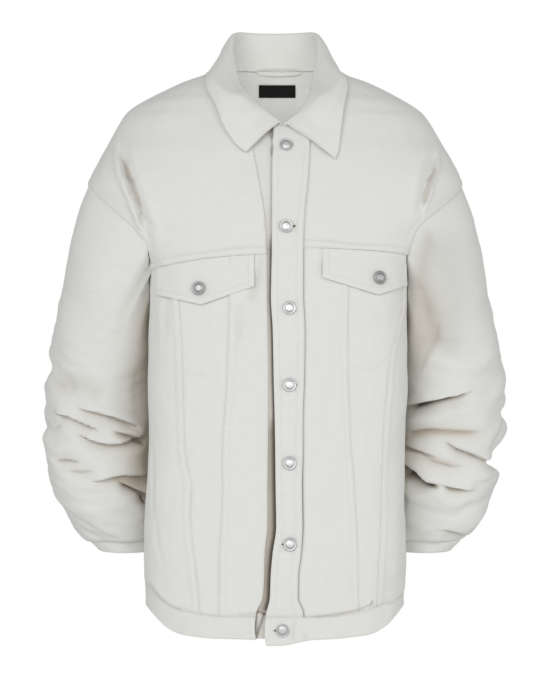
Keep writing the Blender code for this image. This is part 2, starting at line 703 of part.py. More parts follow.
def build_front(side, word, cloth):
    front = FrontSide(side)
    raised = overlap_lift if side > 0 else None
    yoke_line = front.yoke_line()
    top = joined(front.neckline(), front.shoulder())
    middle_edge = edge_border(front.middle_x, top[0, 1], yoke_line[0, 1], ARMHOLE_ROWS)
    body_wall(f"yoke_front_{word}", (middle_edge, front.armhole, top, yoke_line), cloth, raised)

    inner = CENTRE_COLUMNS
    outer = inner + MIDDLE_COLUMNS
    inner_hem = meet_hem(front.inner_x, 1)
    outer_hem = meet_hem(front.outer_x, 1)
    middle_hem = meet_hem(front.middle_x, 1)
    middle_line = edge_border(front.middle_x, yoke_line[0, 1], middle_hem, BODY_ROWS)
    inner_line = edge_border(front.inner_x, yoke_line[inner, 1], inner_hem, BODY_ROWS)
    outer_line = edge_border(front.outer_x, yoke_line[outer, 1], outer_hem, BODY_ROWS)
    side_line = front.side_seam()
    hem_centre = hem_border(middle_line[-1, 0], inner_line[-1, 0], CENTRE_COLUMNS, 1)
    hem_middle = hem_border(inner_line[-1, 0], outer_line[-1, 0], MIDDLE_COLUMNS, 1)
    borders = (middle_line, inner_line, yoke_line[:inner + 1], hem_centre)
    body_wall(f"front_center_{word}", borders, cloth, raised)
    borders = (inner_line, outer_line, yoke_line[inner:outer + 1], hem_middle)
    body_wall(f"front_pocket_{word}", borders, cloth, raised)
    underarm = front.underarm(UNDERARM_FRONT, yoke_line[-1])[::-1]
    side_top = joined(yoke_line[outer:], underarm)
    hem_side = hem_border(outer_line[-1, 0], side_line[-1, 0], len(side_top) - 1, 1)
    body_wall(f"front_side_{word}", (outer_line, side_line, side_top, hem_side), cloth, raised)
    return front, joined(hem_centre, hem_middle, hem_side)


def round_back(angles):
    """Angles on the right half of the back, counted on past the middle of the back."""
    return np.where(angles < 0, angles + 2 * math.pi, angles)


def back_corner(side):
    line = rounded_line(ARMHOLE_BACK, ARMHOLE_ROWS)
    return np.stack([body_angle(side * line[:, 0], line[:, 1], rear=True), line[:, 1]], -1)


def build_back(fronts, cloth):
    right, left = fronts
    left_armhole = back_corner(1)
    right_armhole = back_corner(-1)
    right_armhole[:, 0] = round_back(right_armhole[:, 0])
    columns = BACK_NECK_COLUMNS + right.ridge_columns + left.ridge_columns
    half = rounded_line(NECK_BACK, BACK_NECK_COLUMNS // 2)
    left_neck = np.stack([body_angle(half[:, 0], half[:, 1], rear=True), half[:, 1]], -1)
    right_neck = left_neck * np.array([-1.0, 1.0]) + np.array([2 * math.pi, 0.0])
    right_ridge = right.shoulder() + np.array([2 * math.pi, 0.0])
    top = joined(left.shoulder()[::-1], left_neck[::-1], right_neck, right_ridge)
    yoke_angles = np.linspace(left_armhole[-1, 0], right_armhole[-1, 0], columns + 1)
    yoke_line = np.stack([yoke_angles, np.full(columns + 1, BACK_YOKE_HEIGHT)], -1)
    body_wall("back_yoke", (left_armhole, right_armhole, top, yoke_line), cloth)

    left_under = left.underarm(UNDERARM_BACK, left_armhole[-1])
    corner = right_armhole[-1] - np.array([2 * math.pi, 0.0])
    right_under = right.underarm(UNDERARM_BACK, corner) + np.array([2 * math.pi, 0.0])
    top = joined(left_under, yoke_line, right_under[::-1])
    left_seam = left.side_seam()
    right_seam = right.side_seam() + np.array([2 * math.pi, 0.0])
    angles = np.linspace(left_seam[-1, 0], right_seam[-1, 0], len(top))
    bottom = np.stack([angles, hem_height(math.pi - np.abs(angles - math.pi), 1)], -1)
    body_wall("back_panel", (left_seam, right_seam, top, bottom), cloth)
    return left_armhole, right_armhole, left_under, right_under, bottom


def build_plackets(cloth):
    heights = np.linspace(*UNDER_HEIGHTS, BODY_ROWS + ARMHOLE_ROWS + 1)
    left_edge = front_line(placket_x(1, heights) - UNDER_TUCK, heights)
    right_edge = front_line(np.full(len(heights), UNDER_REACH), heights)
    ends = []
    for height in UNDER_HEIGHTS:
        start = placket_x(1, height) - UNDER_TUCK
        x_values = np.linspace(start, UNDER_REACH, PLACKET_COLUMNS + 1)
        ends.append(front_line(x_values, np.full(len(x_values), height)))
    top, bottom = ends
    body_wall("placket_right", (left_edge, right_edge, top, bottom), cloth,
              lambda x: np.full(x.shape, -UNDER_DROP))

    corner_x = float(placket_x(3, NECK_LEVEL))
    low_left = meet_hem(lambda height: placket_x(2, height), 1)
    low_right = meet_hem(lambda height: placket_x(3, height), 1)
    tops = (float(neck_front(0.0)), float(neck_front(corner_x)))
    yoke_levels = [yoke_height(placket_x(column, YOKE_LEVEL)) for column in (2, 3)]
    edges = []
    for column, top_height, level, low in zip((2, 3), tops, yoke_levels, (low_left, low_right)):
        heights = joined(top_height + shares_down(ARMHOLE_ROWS) * (level - top_height),
                         level + shares_down(BODY_ROWS) * (low - level))
        edges.append(front_line(placket_x(column, heights), heights))
    x_values = np.linspace(placket_x(2, tops[0]), corner_x, PLACKET_COLUMNS + 1)
    top = front_line(x_values, neck_front(x_values))
    bottom = hem_border(edges[0][-1, 0], edges[1][-1, 0], PLACKET_COLUMNS, 1)
    body_wall("placket_left", (edges[0], edges[1], top, bottom), cloth, overlap_lift)
    return bottom


def band_wall(name, top, cloth, end_x=None, raised=None):
    """A length of the hem band under its seam; end_x gives the edge of its end in front."""
    angles = top[:, 0]
    lows = hem_height(math.pi - np.abs(math.pi - np.abs(angles)), 2)
    if raised is not None:
        reach = body_point(angles, top[:, 1])[:, 0]
        lows = lows - TAB_DROP * (1 - ease((reach - TAB_START) / TAB_SPAN))
    bottom = np.stack([angles, lows], -1)
    shares = shares_down(HEM_ROWS)[:, None]
    first = top[0] + shares * (bottom[0] - top[0])
    last = top[-1] + shares * (bottom[-1] - top[-1])
    if end_x is not None:
        first[1:] = front_line(end_x(first[1:, 1]), first[1:, 1])
        bottom[0] = first[-1]
    body_wall(name, (first, last, top, bottom), cloth, raised)


def build_hem(tops, tab, back, cloth):
    right, left = tops
    band_wall("hem_band_right", right, cloth, lambda height: placket_x(1, height))
    band_wall("hem_band_left", joined(tab, left), cloth, lambda height: placket_x(2, height),
              overlap_lift)
    band_wall("hem_band_back", back, cloth)


def sleeve_section(side, station, around):
    """Points of a sleeve section; around is in radians, 0 at the outline and 90 in front."""
    rows = np.arange(len(SLEEVE))
    outer_x, outer_z, inner_x, inner_z, centre_y, depth, square = [
        smooth(station, rows, SLEEVE[:, column]) for column in range(7)]
    shift = smooth(inner_z, BODY[:, 0], BODY[:, 2])
    outer = np.stack([side * outer_x, centre_y, outer_z], -1)
    inner = np.stack([side * inner_x + shift, centre_y, inner_z], -1)
    centre = (outer + inner) / 2
    reach = (np.cos(around) - square * np.cos(3 * around)) / (1 - square)
    ahead = (np.sin(around) + square * np.sin(3 * around)) / (1 - square)
    points = centre + reach[..., None] * (outer - centre)
    points[..., 1] -= depth * ahead
    return points


def fold_depth(table, around, height):
    """How far the folds of a table move the cloth outward, in metres."""
    across = around * ARM_RADIUS
    moved = np.zeros(np.shape(around))
    for row in table:
        start = np.array([math.radians(row[0]) * ARM_RADIUS, row[1]])
        end = np.array([math.radians(row[2]) * ARM_RADIUS, row[3]])
        depth, width = row[4], row[5]
        along = end - start
        length = float(np.linalg.norm(along))
        along = along / length
        for turn in (-2 * math.pi * ARM_RADIUS, 0.0, 2 * math.pi * ARM_RADIUS):
            from_start = (across + turn - start[0]) * along[0] + (height - start[1]) * along[1]
            aside = (height - start[1]) * along[0] - (across + turn - start[0]) * along[1]
            share = np.clip(from_start / length, -0.5, 1.5)
            fade = 1 - ease(np.abs(2 * share - 1) - 0.45)
            trough = np.exp(-(aside / width) ** 2)
            ridges = np.exp(-((np.abs(aside) - 1.9 * width) / (1.1 * width)) ** 2)
            moved += depth * fade * (0.45 * ridges - trough)
    return moved


def grid_normals(points, centres):
    """Normals of a tube's grid whose columns close on themselves."""
    down = np.gradient(points, axis=0)
    beside = np.roll(points, -1, axis=1) - np.roll(points, 1, axis=1)
    normals = unit(np.cross(down, beside))
    outward = np.sum(normals * (points - centres), axis=-1)
    return normals if np.mean(outward) > 0 else -normals


def build_sleeve(side, word, front, back_armhole, back_under, cloth):
    front_under = front.underarm(UNDERARM_FRONT, front.armhole[-1])
    back_line = back_armhole.copy()
    under_line = back_under.copy()
    ring = joined(front.armhole, front_under[::-1], under_line, back_line[::-1])[:-1]
    seam = body_point(ring[:, 0], ring[:, 1])
    if side > 0:
        lifted = overlap_lift(seam[:, 0]) * (np.cos(ring[:, 0]) > 0)
        seam = seam + lifted[:, None] * body_normal(ring[:, 0], ring[:, 1])
    body_normals = body_normal(ring[:, 0], ring[:, 1])
    outer = sleeve_section(side, 0.0, np.array([0.0]))[0]
    inner = sleeve_section(side, 0.0, np.array([math.pi]))[0]
    centre = (outer + inner) / 2
    reach = (seam - centre) @ (outer - centre) / np.sum((outer - centre) ** 2)
    ahead = -(seam[:, 1] - centre[1]) / SLEEVE[0, 5]
    around = np.unwrap(np.arctan2(ahead, reach))
    around = around - 2 * math.pi * round(around[0] / (2 * math.pi))

    upper = np.linspace(0, SLEEVE_PLAIN_SECTIONS, SLEEVE_TOP_ROWS + 1)
    lower = np.linspace(SLEEVE_PLAIN_SECTIONS, len(SLEEVE) - 1, SLEEVE_LOW_ROWS + 1)
    stations = joined(upper, lower)
    station_grid, around_grid = np.meshgrid(stations, around, indexing="ij")
    points = sleeve_section(side, station_grid, around_grid)
    centres = points.mean(axis=1, keepdims=True)
    off_section = seam - points[0]
    points = points + (1 - ease(station_grid / 3.5))[..., None] * off_section[None]
    normals = grid_normals(points, centres)
    table = FOLDS_LEFT if side > 0 else FOLDS_RIGHT
    quiet = ease(station_grid / 2.0) * (1 - ease((station_grid - 11.6) / 1.2))
    clear = 1 - 0.85 * np.exp(-((np.degrees(around_grid) - 180.0) / 22.0) ** 2)
    folded = fold_depth(table, around_grid, points[..., 2])
    points = points + (quiet * clear * folded)[..., None] * normals
    normals = grid_normals(points, centres)
    flush = ease((np.sum(normals[0] * body_normals, axis=-1) + 0.1) / 0.6)
    share = (1 - flush[None] * (1 - ease(station_grid / 1.5)))[..., None]
    normals = unit(share * normals + (1 - share) * body_normals[None])
    apart = CREASE_GAP * (1 - flush[None]) * (1 - ease(station_grid / 2.0))
    points = points + apart[..., None] * body_normals[None]

    under_seam = ARMHOLE_ROWS + UNDERARM_COLUMNS
    back_seam = under_seam + UNDERARM_COLUMNS
    columns = len(around)
    front_part = np.arange(back_seam, columns + under_seam + 1) % columns
    under_part = np.arange(under_seam, back_seam + 1)
    for name, part in (("top", front_part), ("under", under_part)):
        piece = seam_borders(points[:, part], SEAM_GAP, "lrb")
        piece = seam_borders(piece, ARMHOLE_GAP, "t")
        wall(f"sleeve_{word}_{name}", piece, normals[:, part], cloth)

    levels = np.linspace(CUFF_TOP, CUFF_BOTTOM, CUFF_ROWS + 1)
    level_grid, turn_grid = np.meshgrid(levels, around, indexing="ij")
    outward = np.stack([side * np.cos(turn_grid) / CUFF_HALF_WIDTH,
                        -np.sin(turn_grid) / CUFF_HALF_DEPTH, 0 * turn_grid], -1)
    cuff = np.stack([side * (CUFF_CENTRE[0] + CUFF_HALF_WIDTH * np.cos(turn_grid)),
                     CUFF_CENTRE[1] - CUFF_HALF_DEPTH * np.sin(turn_grid), level_grid], -1)
    wall(f"cuff_{word}", cuff, unit(outward), cloth, ring=True)


def neck_ring():
    """The neckline from the right front round the back to the left front, in space."""
    table = rounded_line(NECK_FRONT, NECKLINE_SAMPLES)
    front_x, front_z = table[:, 0], table[:, 1]
    back = rounded_line(NECK_BACK, NECKLINE_SAMPLES)
    right_front = front_line(-front_x, front_z)
    left_front = front_line(front_x, front_z)
    rear = np.stack([body_angle(back[:, 0], back[:, 1], rear=True), back[:, 1]], -1)
    rear_right = rear * np.array([-1.0, 1.0])
    parts = []
    for line, x_values in ((right_front, -front_x), (left_front, front_x)):
        points = body_point(line[:, 0], line[:, 1])
        if x_values[-1] > 0:
            raised = overlap_lift(x_values)
        else:
            raised = -UNDER_DROP * ease((x_values - UNDER_START) / UNDER_SPAN)
        raised = raised - CLOTH / 2
        parts.append(points + raised[:, None] * body_normal(line[:, 0], line[:, 1]))
    right_back = body_point(rear_right[:, 0], rear_right[:, 1])
    right_back -= CLOTH / 2 * body_normal(rear_right[:, 0], rear_right[:, 1])
    left_back = body_point(rear[:, 0], rear[:, 1])
    left_back -= CLOTH / 2 * body_normal(rear[:, 0], rear[:, 1])
    ring = np.concatenate([parts[0], right_back[::-1], left_back[1:], parts[1][::-1]])
    return even_line(ring, 3 * NECKLINE_SAMPLES)


def collar_stations():
    """Neck seam, fold and outer edge of the collar at even steps from end to end."""
    rows = np.arange(len(COLLAR))
    at = np.linspace(0, len(COLLAR) - 1, COLLAR_STATIONS)
    table = np.stack([smooth(at, rows, COLLAR[:, column]) for column in range(9)], -1)
    ring = neck_ring()
    half = len(ring) // 2
    nearest = []
    for number, row in enumerate(COLLAR):
        away = np.linalg.norm(ring - row[:3], axis=1)
        away[half + 20:] += number < len(COLLAR) // 2
        away[:half - 20] += number > len(COLLAR) // 2
        nearest.append(int(np.argmin(away)))
    share = smooth(at, rows, np.array(nearest, float))
    seam = np.stack([np.interp(share, np.arange(len(ring)), ring[:, axis]) for axis in range(3)], -1)
    return seam, table[:, 3:6], table[:, 6:9]


def clear_of_body(points, clearance):
    """Move points outward, level, until they clear the body's surface."""
    level = points[:, 2]
    widest = body_level(level)[4]
    centre = np.stack([0 * level, widest, level], -1)
    turns = np.linspace(-math.pi, math.pi, 361)
    moved = points.copy()
    for number, point in enumerate(points):
        ring = body_point(turns, np.full(len(turns), level[number])) - centre[number]
        away = point - centre[number]
        facing = np.argmax(unit(ring)[:, :2] @ unit(away)[:2])
        surface = np.linalg.norm(ring[facing]) + clearance
        reach = np.linalg.norm(away)
        if level[number] < BODY[0, 0] and reach < surface:
            moved[number] = centre[number] + away / reach * surface
    return moved


def build_collar(cloth):
    seam, fold, edge = collar_stations()
    up = unit(fold - (seam + edge) / 2)
    along = unit(np.gradient(fold, axis=0))
    out = unit(np.cross(along, up))
    upper_side = 0.3 * unit(fold * np.array([1.0, 1.0, 0.0])) + np.array([0.0, 0.0, 1.0])
    out = out * np.sign(np.sum(out * upper_side, axis=-1, keepdims=True))
    seam = seam + COLLAR_RISE * unit(fold - seam)
    radius = np.linalg.norm(fold - seam, axis=-1, keepdims=True) * FOLD_SHARE
    radius = np.minimum(radius, FOLD_RADIUS)
    middle = fold - radius * up
    rows = []
    start = middle - radius * out
    for share in np.linspace(0, 1, STAND_STEPS + 1)[:-1]:
        rows.append(seam + share * (start - seam))
    for turn in np.linspace(math.pi, 0, FOLD_STEPS):
        rows.append(middle + radius * (math.cos(turn) * out + math.sin(turn) * up))
    end = rows[-1]
    length = np.linalg.norm(edge - end, axis=-1, keepdims=True)
    steer = (end + edge) / 2 + LEAF_BOW * out * ease(length / 0.05)
    for share in np.linspace(0, 1, LEAF_STEPS + 1)[1:]:
        leaf = (1 - share) ** 2 * end + 2 * share * (1 - share) * steer + share ** 2 * edge
        rows.append(clear_of_body(leaf, LEAF_CLEARANCE * min(1.0, share + 0.6)))
    points = np.stack(rows)
    down = np.gradient(points, axis=0)
    beside = np.gradient(points, axis=1)
    normals = unit(np.cross(down, beside))
    wall("collar", points + CLOTH / 2 * normals, normals, cloth)


def build_flap(side, word, cloth):
    left, right, left_low, point_x, point_low, right_low = FLAP_RIGHT if side < 0 else FLAP_LEFT
    lines = (across_front(left, point_x, FLAP_COLUMNS, yoke_height),
             across_front(point_x, right, FLAP_COLUMNS, yoke_height))
    line = joined(*lines)
    x_values = body_point(line[:, 0], line[:, 1])[:, 0]
    tops = yoke_height(x_values) - SEAM_GAP
    lows = np.interp(x_values, [left, point_x, right], [left_low, point_low, right_low])
    share = np.linspace(0, 1, FLAP_ROWS + 1)[:, None]
    heights = tops + share * (lows - tops)
    across = x_values + 0 * heights
    angle = body_angle(across, heights)
    normals = body_normal(angle, heights)
    raised = CLOTH + FLAP_CLEARANCE + FLAP_STANDOFF * share ** 1.5
    if side > 0:
        raised = raised + overlap_lift(across)
    wall(f"pocket_flap_{word}", body_point(angle, heights) + raised[..., None] * normals,
         normals, cloth)


def button_mesh(metal):
    """A turned metal button with a domed middle inside a raised rim, facing +Z."""
    profile = np.array([
        (0.62, 0.00),
        (1.00, 0.30),
        (0.90, 0.66),
        (0.72, 0.60),
        (0.44, 0.92),
    ]) * np.array([BUTTON_RADIUS, BUTTON_HEIGHT])
    turns = np.arange(BUTTON_SIDES) / BUTTON_SIDES * 2 * math.pi
    rings = [[(radius * math.cos(turn), radius * math.sin(turn), rise) for turn in turns]
             for radius, rise in profile]
    vertices = [corner for ring in rings for corner in ring]
    count = len(turns)
    faces = [list(range(count))[::-1]]
    for ring in range(len(profile) - 1):
        for number in range(count):
            beside = (number + 1) % count
            low = ring * count
            faces.append([low + number, low + beside, low + count + beside, low + count + number])
    top = (len(profile) - 1) * count
    vertices.append((0.0, 0.0, BUTTON_HEIGHT))
    for number in range(count):
        faces.append([top + number, top + (number + 1) % count, len(vertices) - 1])
    mesh = bpy.data.meshes.new("button")
    mesh.from_pydata(vertices, [], faces)
    mesh.validate()
    mesh.update()
    mesh.materials.append(metal)
    mesh.shade_smooth()
    mesh.set_sharp_from_angle(angle=math.radians(SHARP_ANGLE))
    return mesh


def place_button(name, mesh, spot, raised):
    """Set a button on the front at (x, height), facing out of the cloth."""
    angle = body_angle(np.array(spot[0]), np.array(spot[1]))
    normal = body_normal(angle, np.array(spot[1]))
    point = body_point(angle, np.array(spot[1])) + (raised + SEAM_GAP) * normal
    item = bpy.data.objects.new(name, mesh)
    bpy.context.collection.objects.link(item)
    item.location = point.tolist()
    item.rotation_euler = (math.acos(normal[2]), 0.0, math.atan2(normal[0], -normal[1]))


def build_buttons(metal):
    mesh = button_mesh(metal)
    for number, spot in enumerate(FRONT_BUTTONS, 1):
        place_button(f"front_button_{number}", mesh, spot, OVERLAP_LIFT)
    standoff = CLOTH + FLAP_CLEARANCE + FLAP_STANDOFF
    place_button("pocket_button_right", mesh, POCKET_BUTTON_RIGHT, standoff)
    lift = float(overlap_lift(POCKET_BUTTON_LEFT[0]))
    place_button("pocket_button_left", mesh, POCKET_BUTTON_LEFT, standoff + lift)


def inner_patch(name, box, drop, thickness, material):
    """A thin strip inside the back: left x, right x, lower and upper height."""
    x_values = np.linspace(box[0], box[1], LABEL_COLUMNS + 1)
    heights = np.linspace(box[3], box[2], LABEL_ROWS + 1)
    across, height = np.meshgrid(x_values, heights)
    angle = body_angle(across, height, rear=True)
    normals = body_normal(angle, height)
    points = body_point(angle, height) - drop * normals
    wall(name, points, normals, material, thickness)


def build_jacket():
    clear_scene()
    cloth = make_material("denim", CLOTH_COLOUR, 0.85, 0.0)
    metal = make_material("button_metal", METAL_COLOUR, 0.32, 1.0)
    label = make_material("label_cloth", LABEL_COLOUR, 0.7, 0.0)
    right, right_hem = build_front(-1, "right", cloth)
    left, left_hem = build_front(1, "left", cloth)
    tab = build_plackets(cloth)
    left_armhole, right_armhole, left_under, right_under, back_hem = build_back(
        (right, left), cloth)
    build_hem((right_hem, left_hem), tab, back_hem, cloth)
    build_sleeve(-1, "right", right, right_armhole, right_under, cloth)
    build_sleeve(1, "left", left, left_armhole, left_under, cloth)
    build_collar(cloth)
    build_flap(-1, "right", cloth)
    build_flap(1, "left", cloth)
    build_buttons(metal)
    inner_patch("neck_label", LABEL, CLOTH + LABEL_CLEARANCE, LABEL_THICKNESS, label)
    inner_patch("hanger_loop", LOOP, CLOTH + LABEL_CLEARANCE, LOOP_THICKNESS, cloth)


build_jacket()
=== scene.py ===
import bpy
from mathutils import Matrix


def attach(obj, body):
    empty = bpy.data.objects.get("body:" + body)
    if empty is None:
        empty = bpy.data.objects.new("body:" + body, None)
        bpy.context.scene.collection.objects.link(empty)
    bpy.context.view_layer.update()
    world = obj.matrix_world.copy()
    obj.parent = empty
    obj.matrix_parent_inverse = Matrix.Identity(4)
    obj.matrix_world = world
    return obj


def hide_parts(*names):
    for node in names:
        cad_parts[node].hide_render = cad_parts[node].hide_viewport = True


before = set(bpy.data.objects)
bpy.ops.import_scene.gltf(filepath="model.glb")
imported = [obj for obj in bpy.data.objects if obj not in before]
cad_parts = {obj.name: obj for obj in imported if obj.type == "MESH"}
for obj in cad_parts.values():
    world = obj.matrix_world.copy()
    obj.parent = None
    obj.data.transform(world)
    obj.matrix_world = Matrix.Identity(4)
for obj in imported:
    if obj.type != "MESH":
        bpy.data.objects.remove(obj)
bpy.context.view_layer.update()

# Looks of a buttoned denim jacket, filled out with no wearer.
#
# Every panel is a fine sheet on the same form as its solid: the body is one surface of rounded
# ovals, and each sleeve is a tube of ovals that starts on the armhole.  A panel's grid has lines
# at the needle lines beside its seams, so felled bands, stitch grooves and puckers are part of
# its shape.  Creases are troughs with soft ridges beside them, from short tables.
import math
from functools import partial

import bpy
import numpy as np
from mathutils import Vector

CLOTH = 0.0020            # thickness of one wall
TENTHS = 1e4              # the tables hold whole tenths of a millimetre, a metre has this many
SEAM_GAP = 0.0003         # clearance between two pieces at a seam
OVERLAP_LIFT = 0.0032     # how far the left front rides over the right one
OVERLAP_START = 0.038     # where the left front begins to settle, and over what width
OVERLAP_SPAN = 0.065
UNDER_DROP = 0.0024       # how far the right placket lies behind the right front
UNDER_START = -0.044      # where the neckline starts to step down to the right placket
UNDER_SPAN = 0.012
UNDER_TUCK = 0.008        # how far the right placket reaches in behind the right front
UNDER_REACH = 0.0290      # its hidden edge, behind the top placket
UNDER_HEIGHTS = (-0.0800, -0.7340)
CREASE_GAP = 0.0009       # clearance where a sleeve folds back against the body under the arm


def tenths(rows, degrees=False):
    """Rows of tenths of a millimetre as metres; with degrees, the first column is an angle."""
    units = np.full(len(rows[0]), TENTHS)
    units[0] = 1.0 if degrees else TENTHS
    return np.array(rows) / units


def points_of(line, degrees):
    """A line of points, given as the two numbers of each point in turn."""
    return tenths(np.reshape(line, (-1, 2)), degrees)


def crease_rows(rows, degrees=False):
    """Rows of a depth, a width, a lip (0 to 1) and a line."""
    return [(depth / TENTHS, width / TENTHS, lip, points_of(line, degrees))
            for depth, width, lip, line in rows]


def shade_rows(rows, degrees=False):
    """Rows of a darkness and a warmth (0 to 1), three half widths and a line."""
    return [(dark, warm, np.array(widths) / TENTHS, points_of(line, degrees))
            for dark, warm, widths, line in rows]


# Levels of the body from the back of the neck down to the hem.
# height, half width, centre shift, front y, back y, y of widest line, front and back squareness,
# which is in ten-thousandths
BODY = tenths([
    (260, 680, 0, -400, 780, 140, 0, 0), (170, 790, 0, -500, 820, 130, 0, 0),
    (80, 880, 0, -560, 850, 120, 0, 0), (0, 1010, 0, -620, 880, 110, 0, 0),
    (-80, 1240, 0, -670, 910, 100, 0, 0), (-190, 1480, 0, -740, 950, 90, 0, 0),
    (-300, 1690, 0, -800, 990, 80, 0, 0), (-410, 1870, 0, -860, 1030, 60, 100, 100),
    (-510, 1990, 0, -910, 1060, 40, 100, 200), (-620, 2070, 0, -960, 1090, 20, 200, 200),
    (-840, 2200, 0, -1050, 1140, -20, 200, 300), (-1160, 2370, 0, -1170, 1200, -80, 300, 400),
    (-1500, 2500, 0, -1280, 1250, -140, 300, 500), (-1900, 2280, 10, -1380, 1290, -280, 400, 700),
    (-2300, 1920, 30, -1450, 1310, -440, 400, 900), (-2620, 1705, 48, -1490, 1310, -560, 500, 800),
    (-3000, 1690, 46, -1520, 1300, -640, 500, 600), (-3500, 1695, 42, -1550, 1290, -700, 500, 100),
    (-4200, 1700, 36, -1580, 1280, -760, 500, 0), (-4900, 1670, 22, -1600, 1280, -800, 500, 0),
    (-5700, 1690, 2, -1620, 1280, -820, 500, 0), (-6400, 1710, 0, -1630, 1290, -780, 500, 100),
    (-7000, 1690, 0, -1610, 1300, -640, 500, 200), (-7450, 1620, 0, -1570, 1260, -580, 500, 200)])

# Edges of the two plackets, as x at a height: the right front's edge over its placket,
# and the left and right edge of the top placket.
# height, right front edge, top placket left edge, top placket right edge
PLACKET = tenths([
    (-790, -340, -22, 460), (-1150, -271, -34, 446), (-1600, -190, -38, 415),
    (-2000, -128, -40, 372), (-2400, -106, -41, 358), (-3000, -100, -51, 356),
    (-3440, -90, -29, 375), (-4000, -82, -18, 369), (-4500, -84, -6, 352), (-5000, -90, 3, 350),
    (-5400, -94, 7, 340), (-5920, -95, 15, 347), (-6280, -131, -32, 325), (-6550, -137, -55, 291),
    (-6830, -156, -66, 288), (-7020, -235, -110, 355), (-7200, -257, -130, 360),
    (-7370, -266, -115, 365), (-7450, -268, -85, 365)])

# The slanted seams of the fronts, as x at a height.
# height, right outer, right inner, left inner, left outer
SLANTS = tenths([
    (-2455, -1255, -585, 943, 1590), (-2850, -1240, -585, 940, 1665),
    (-3050, -1227, -585, 938, 1668), (-3400, -1198, -592, 930, 1590),
    (-3800, -1180, -605, 929, 1478), (-4170, -1168, -617, 938, 1434),
    (-4530, -1157, -645, 955, 1396), (-4900, -1147, -668, 966, 1377),
    (-5180, -1108, -672, 994, 1366), (-5430, -1056, -665, 1010, 1354),
    (-5770, -1075, -675, 1030, 1358), (-6080, -1055, -694, 1048, 1345),
    (-6400, -1013, -712, 1056, 1320), (-6750, -978, -712, 1062, 1308),
    (-7120, -940, -710, 1068, 1306)])

# Lower edge of the front yokes: x, height
FRONT_YOKE_EDGE = tenths([
    (-1750, -2690), (-1625, -2655), (-1478, -2626), (-1280, -2585), (-945, -2531), (-573, -2494),
    (-115, -2469), (382, -2392), (830, -2403), (1281, -2424), (1700, -2455)])
BACK_YOKE_HEIGHT = -0.228
YOKE_LEVEL = -0.245       # where the seams under the front yokes are read
NECK_LEVEL = -0.075       # where the plackets' edges are read at the neckline

# Neckline seen from the front, and from the back: distance from the middle, height
NECK_FRONT = tenths([
    (0, -800), (300, -760), (540, -620), (710, -410), (820, -180), (870, 0), (880, 80)])
NECK_BACK = tenths([
    (0, 165), (400, 160), (700, 130), (880, 80)])

# Armhole seam from the shoulder forward and down to the yoke corner, one column a side, and
# from the shoulder backward and down, both seen from the front: distance out, height
ARMHOLE_FRONT_RIGHT = tenths([
    (2500, -1500), (2436, -1552), (2299, -1686), (2129, -1827), (2018, -1924), (1881, -2047),
    (1747, -2193), (1645, -2338), (1625, -2655)])
ARMHOLE_FRONT_LEFT = tenths([
    (2500, -1500), (2450, -1570), (2302, -1723), (2117, -1879), (1950, -2017), (1829, -2151),
    (1764, -2306), (1712, -2455)])
ARMHOLE_BACK = tenths([
    (2500, -1500), (2420, -1590), (2270, -1740), (2080, -1910), (1900, -2090), (1740, -2280)])
# The rest of the armhole, under the arm: degrees round the body from the front, height
UNDERARM_FRONT = tenths([
    (84, -2800), (93, -3100), (101, -3330), (109, -3460)], degrees=True)
UNDERARM_BACK = tenths([
    (115, -3410), (119, -3220), (121, -2880), (123, -2550)], degrees=True)
SIDE_SEAM = 101.0         # degrees round the body at the hem; it starts under the arm

# Hem: degrees round from the front, height of the band's seam, height of its lower edge
HEM = tenths([
    (0, -7070, -7370), (12, -7075, -7365), (22, -7070, -7362), (32, -7035, -7345),
    (42, -6995, -7322), (52, -6900, -7245), (62, -6760, -7130), (75, -6720, -7040),
    (100, -6740, -7010), (140, -6860, -7140), (180, -6900, -7190)], degrees=True)
TAB_DROP = 0.0065         # the band's left end hangs lower than the rest of the front
TAB_START = 0.006         # where that drop begins to fade, and over what width
TAB_SPAN = 0.050

# Sections of a sleeve from the armhole to the cuff.
# outer x, outer z, inner x, inner z, centre y, half depth, squareness
SLEEVE = tenths([
    (2500, -1500, 1610, -3520, -20, 1000, 0), (2640, -1850, 1640, -3680, 20, 980, 0),
    (2775, -2330, 1650, -3830, 80, 950, 0), (2900, -2990, 1660, -4000, 160, 900, 0),
    (3050, -3640, 1660, -4240, 230, 860, 0), (3130, -4280, 1655, -4560, 260, 840, 0),
    (3140, -4860, 1645, -4940, 260, 830, 100), (3090, -5280, 1640, -5280, 260, 820, 200),
    (3000, -5600, 1630, -5580, 260, 790, 200), (2900, -5830, 1610, -5800, 260, 740, 200),
    (2780, -6040, 1590, -5990, 260, 680, 200), (2660, -6180, 1575, -6130, 250, 600, 100),
    (2550, -6270, 1570, -6220, 240, 530, 0), (2424, -6290, 1616, -6250, 240, 450, 0)])
CUFF_CENTRE = (0.2025, 0.024)
CUFF_HALF_WIDTH = 0.0390
CUFF_HALF_DEPTH = 0.0440
CUFF_TOP = -0.5980
CUFF_BOTTOM = -0.6420
ARM_RADIUS = 0.080        # turns degrees round a sleeve into metres for the folds
ARM_ROUND = 2 * math.pi * ARM_RADIUS
BODY_RADIUS = 0.170       # turns radians round the body into metres along the armhole

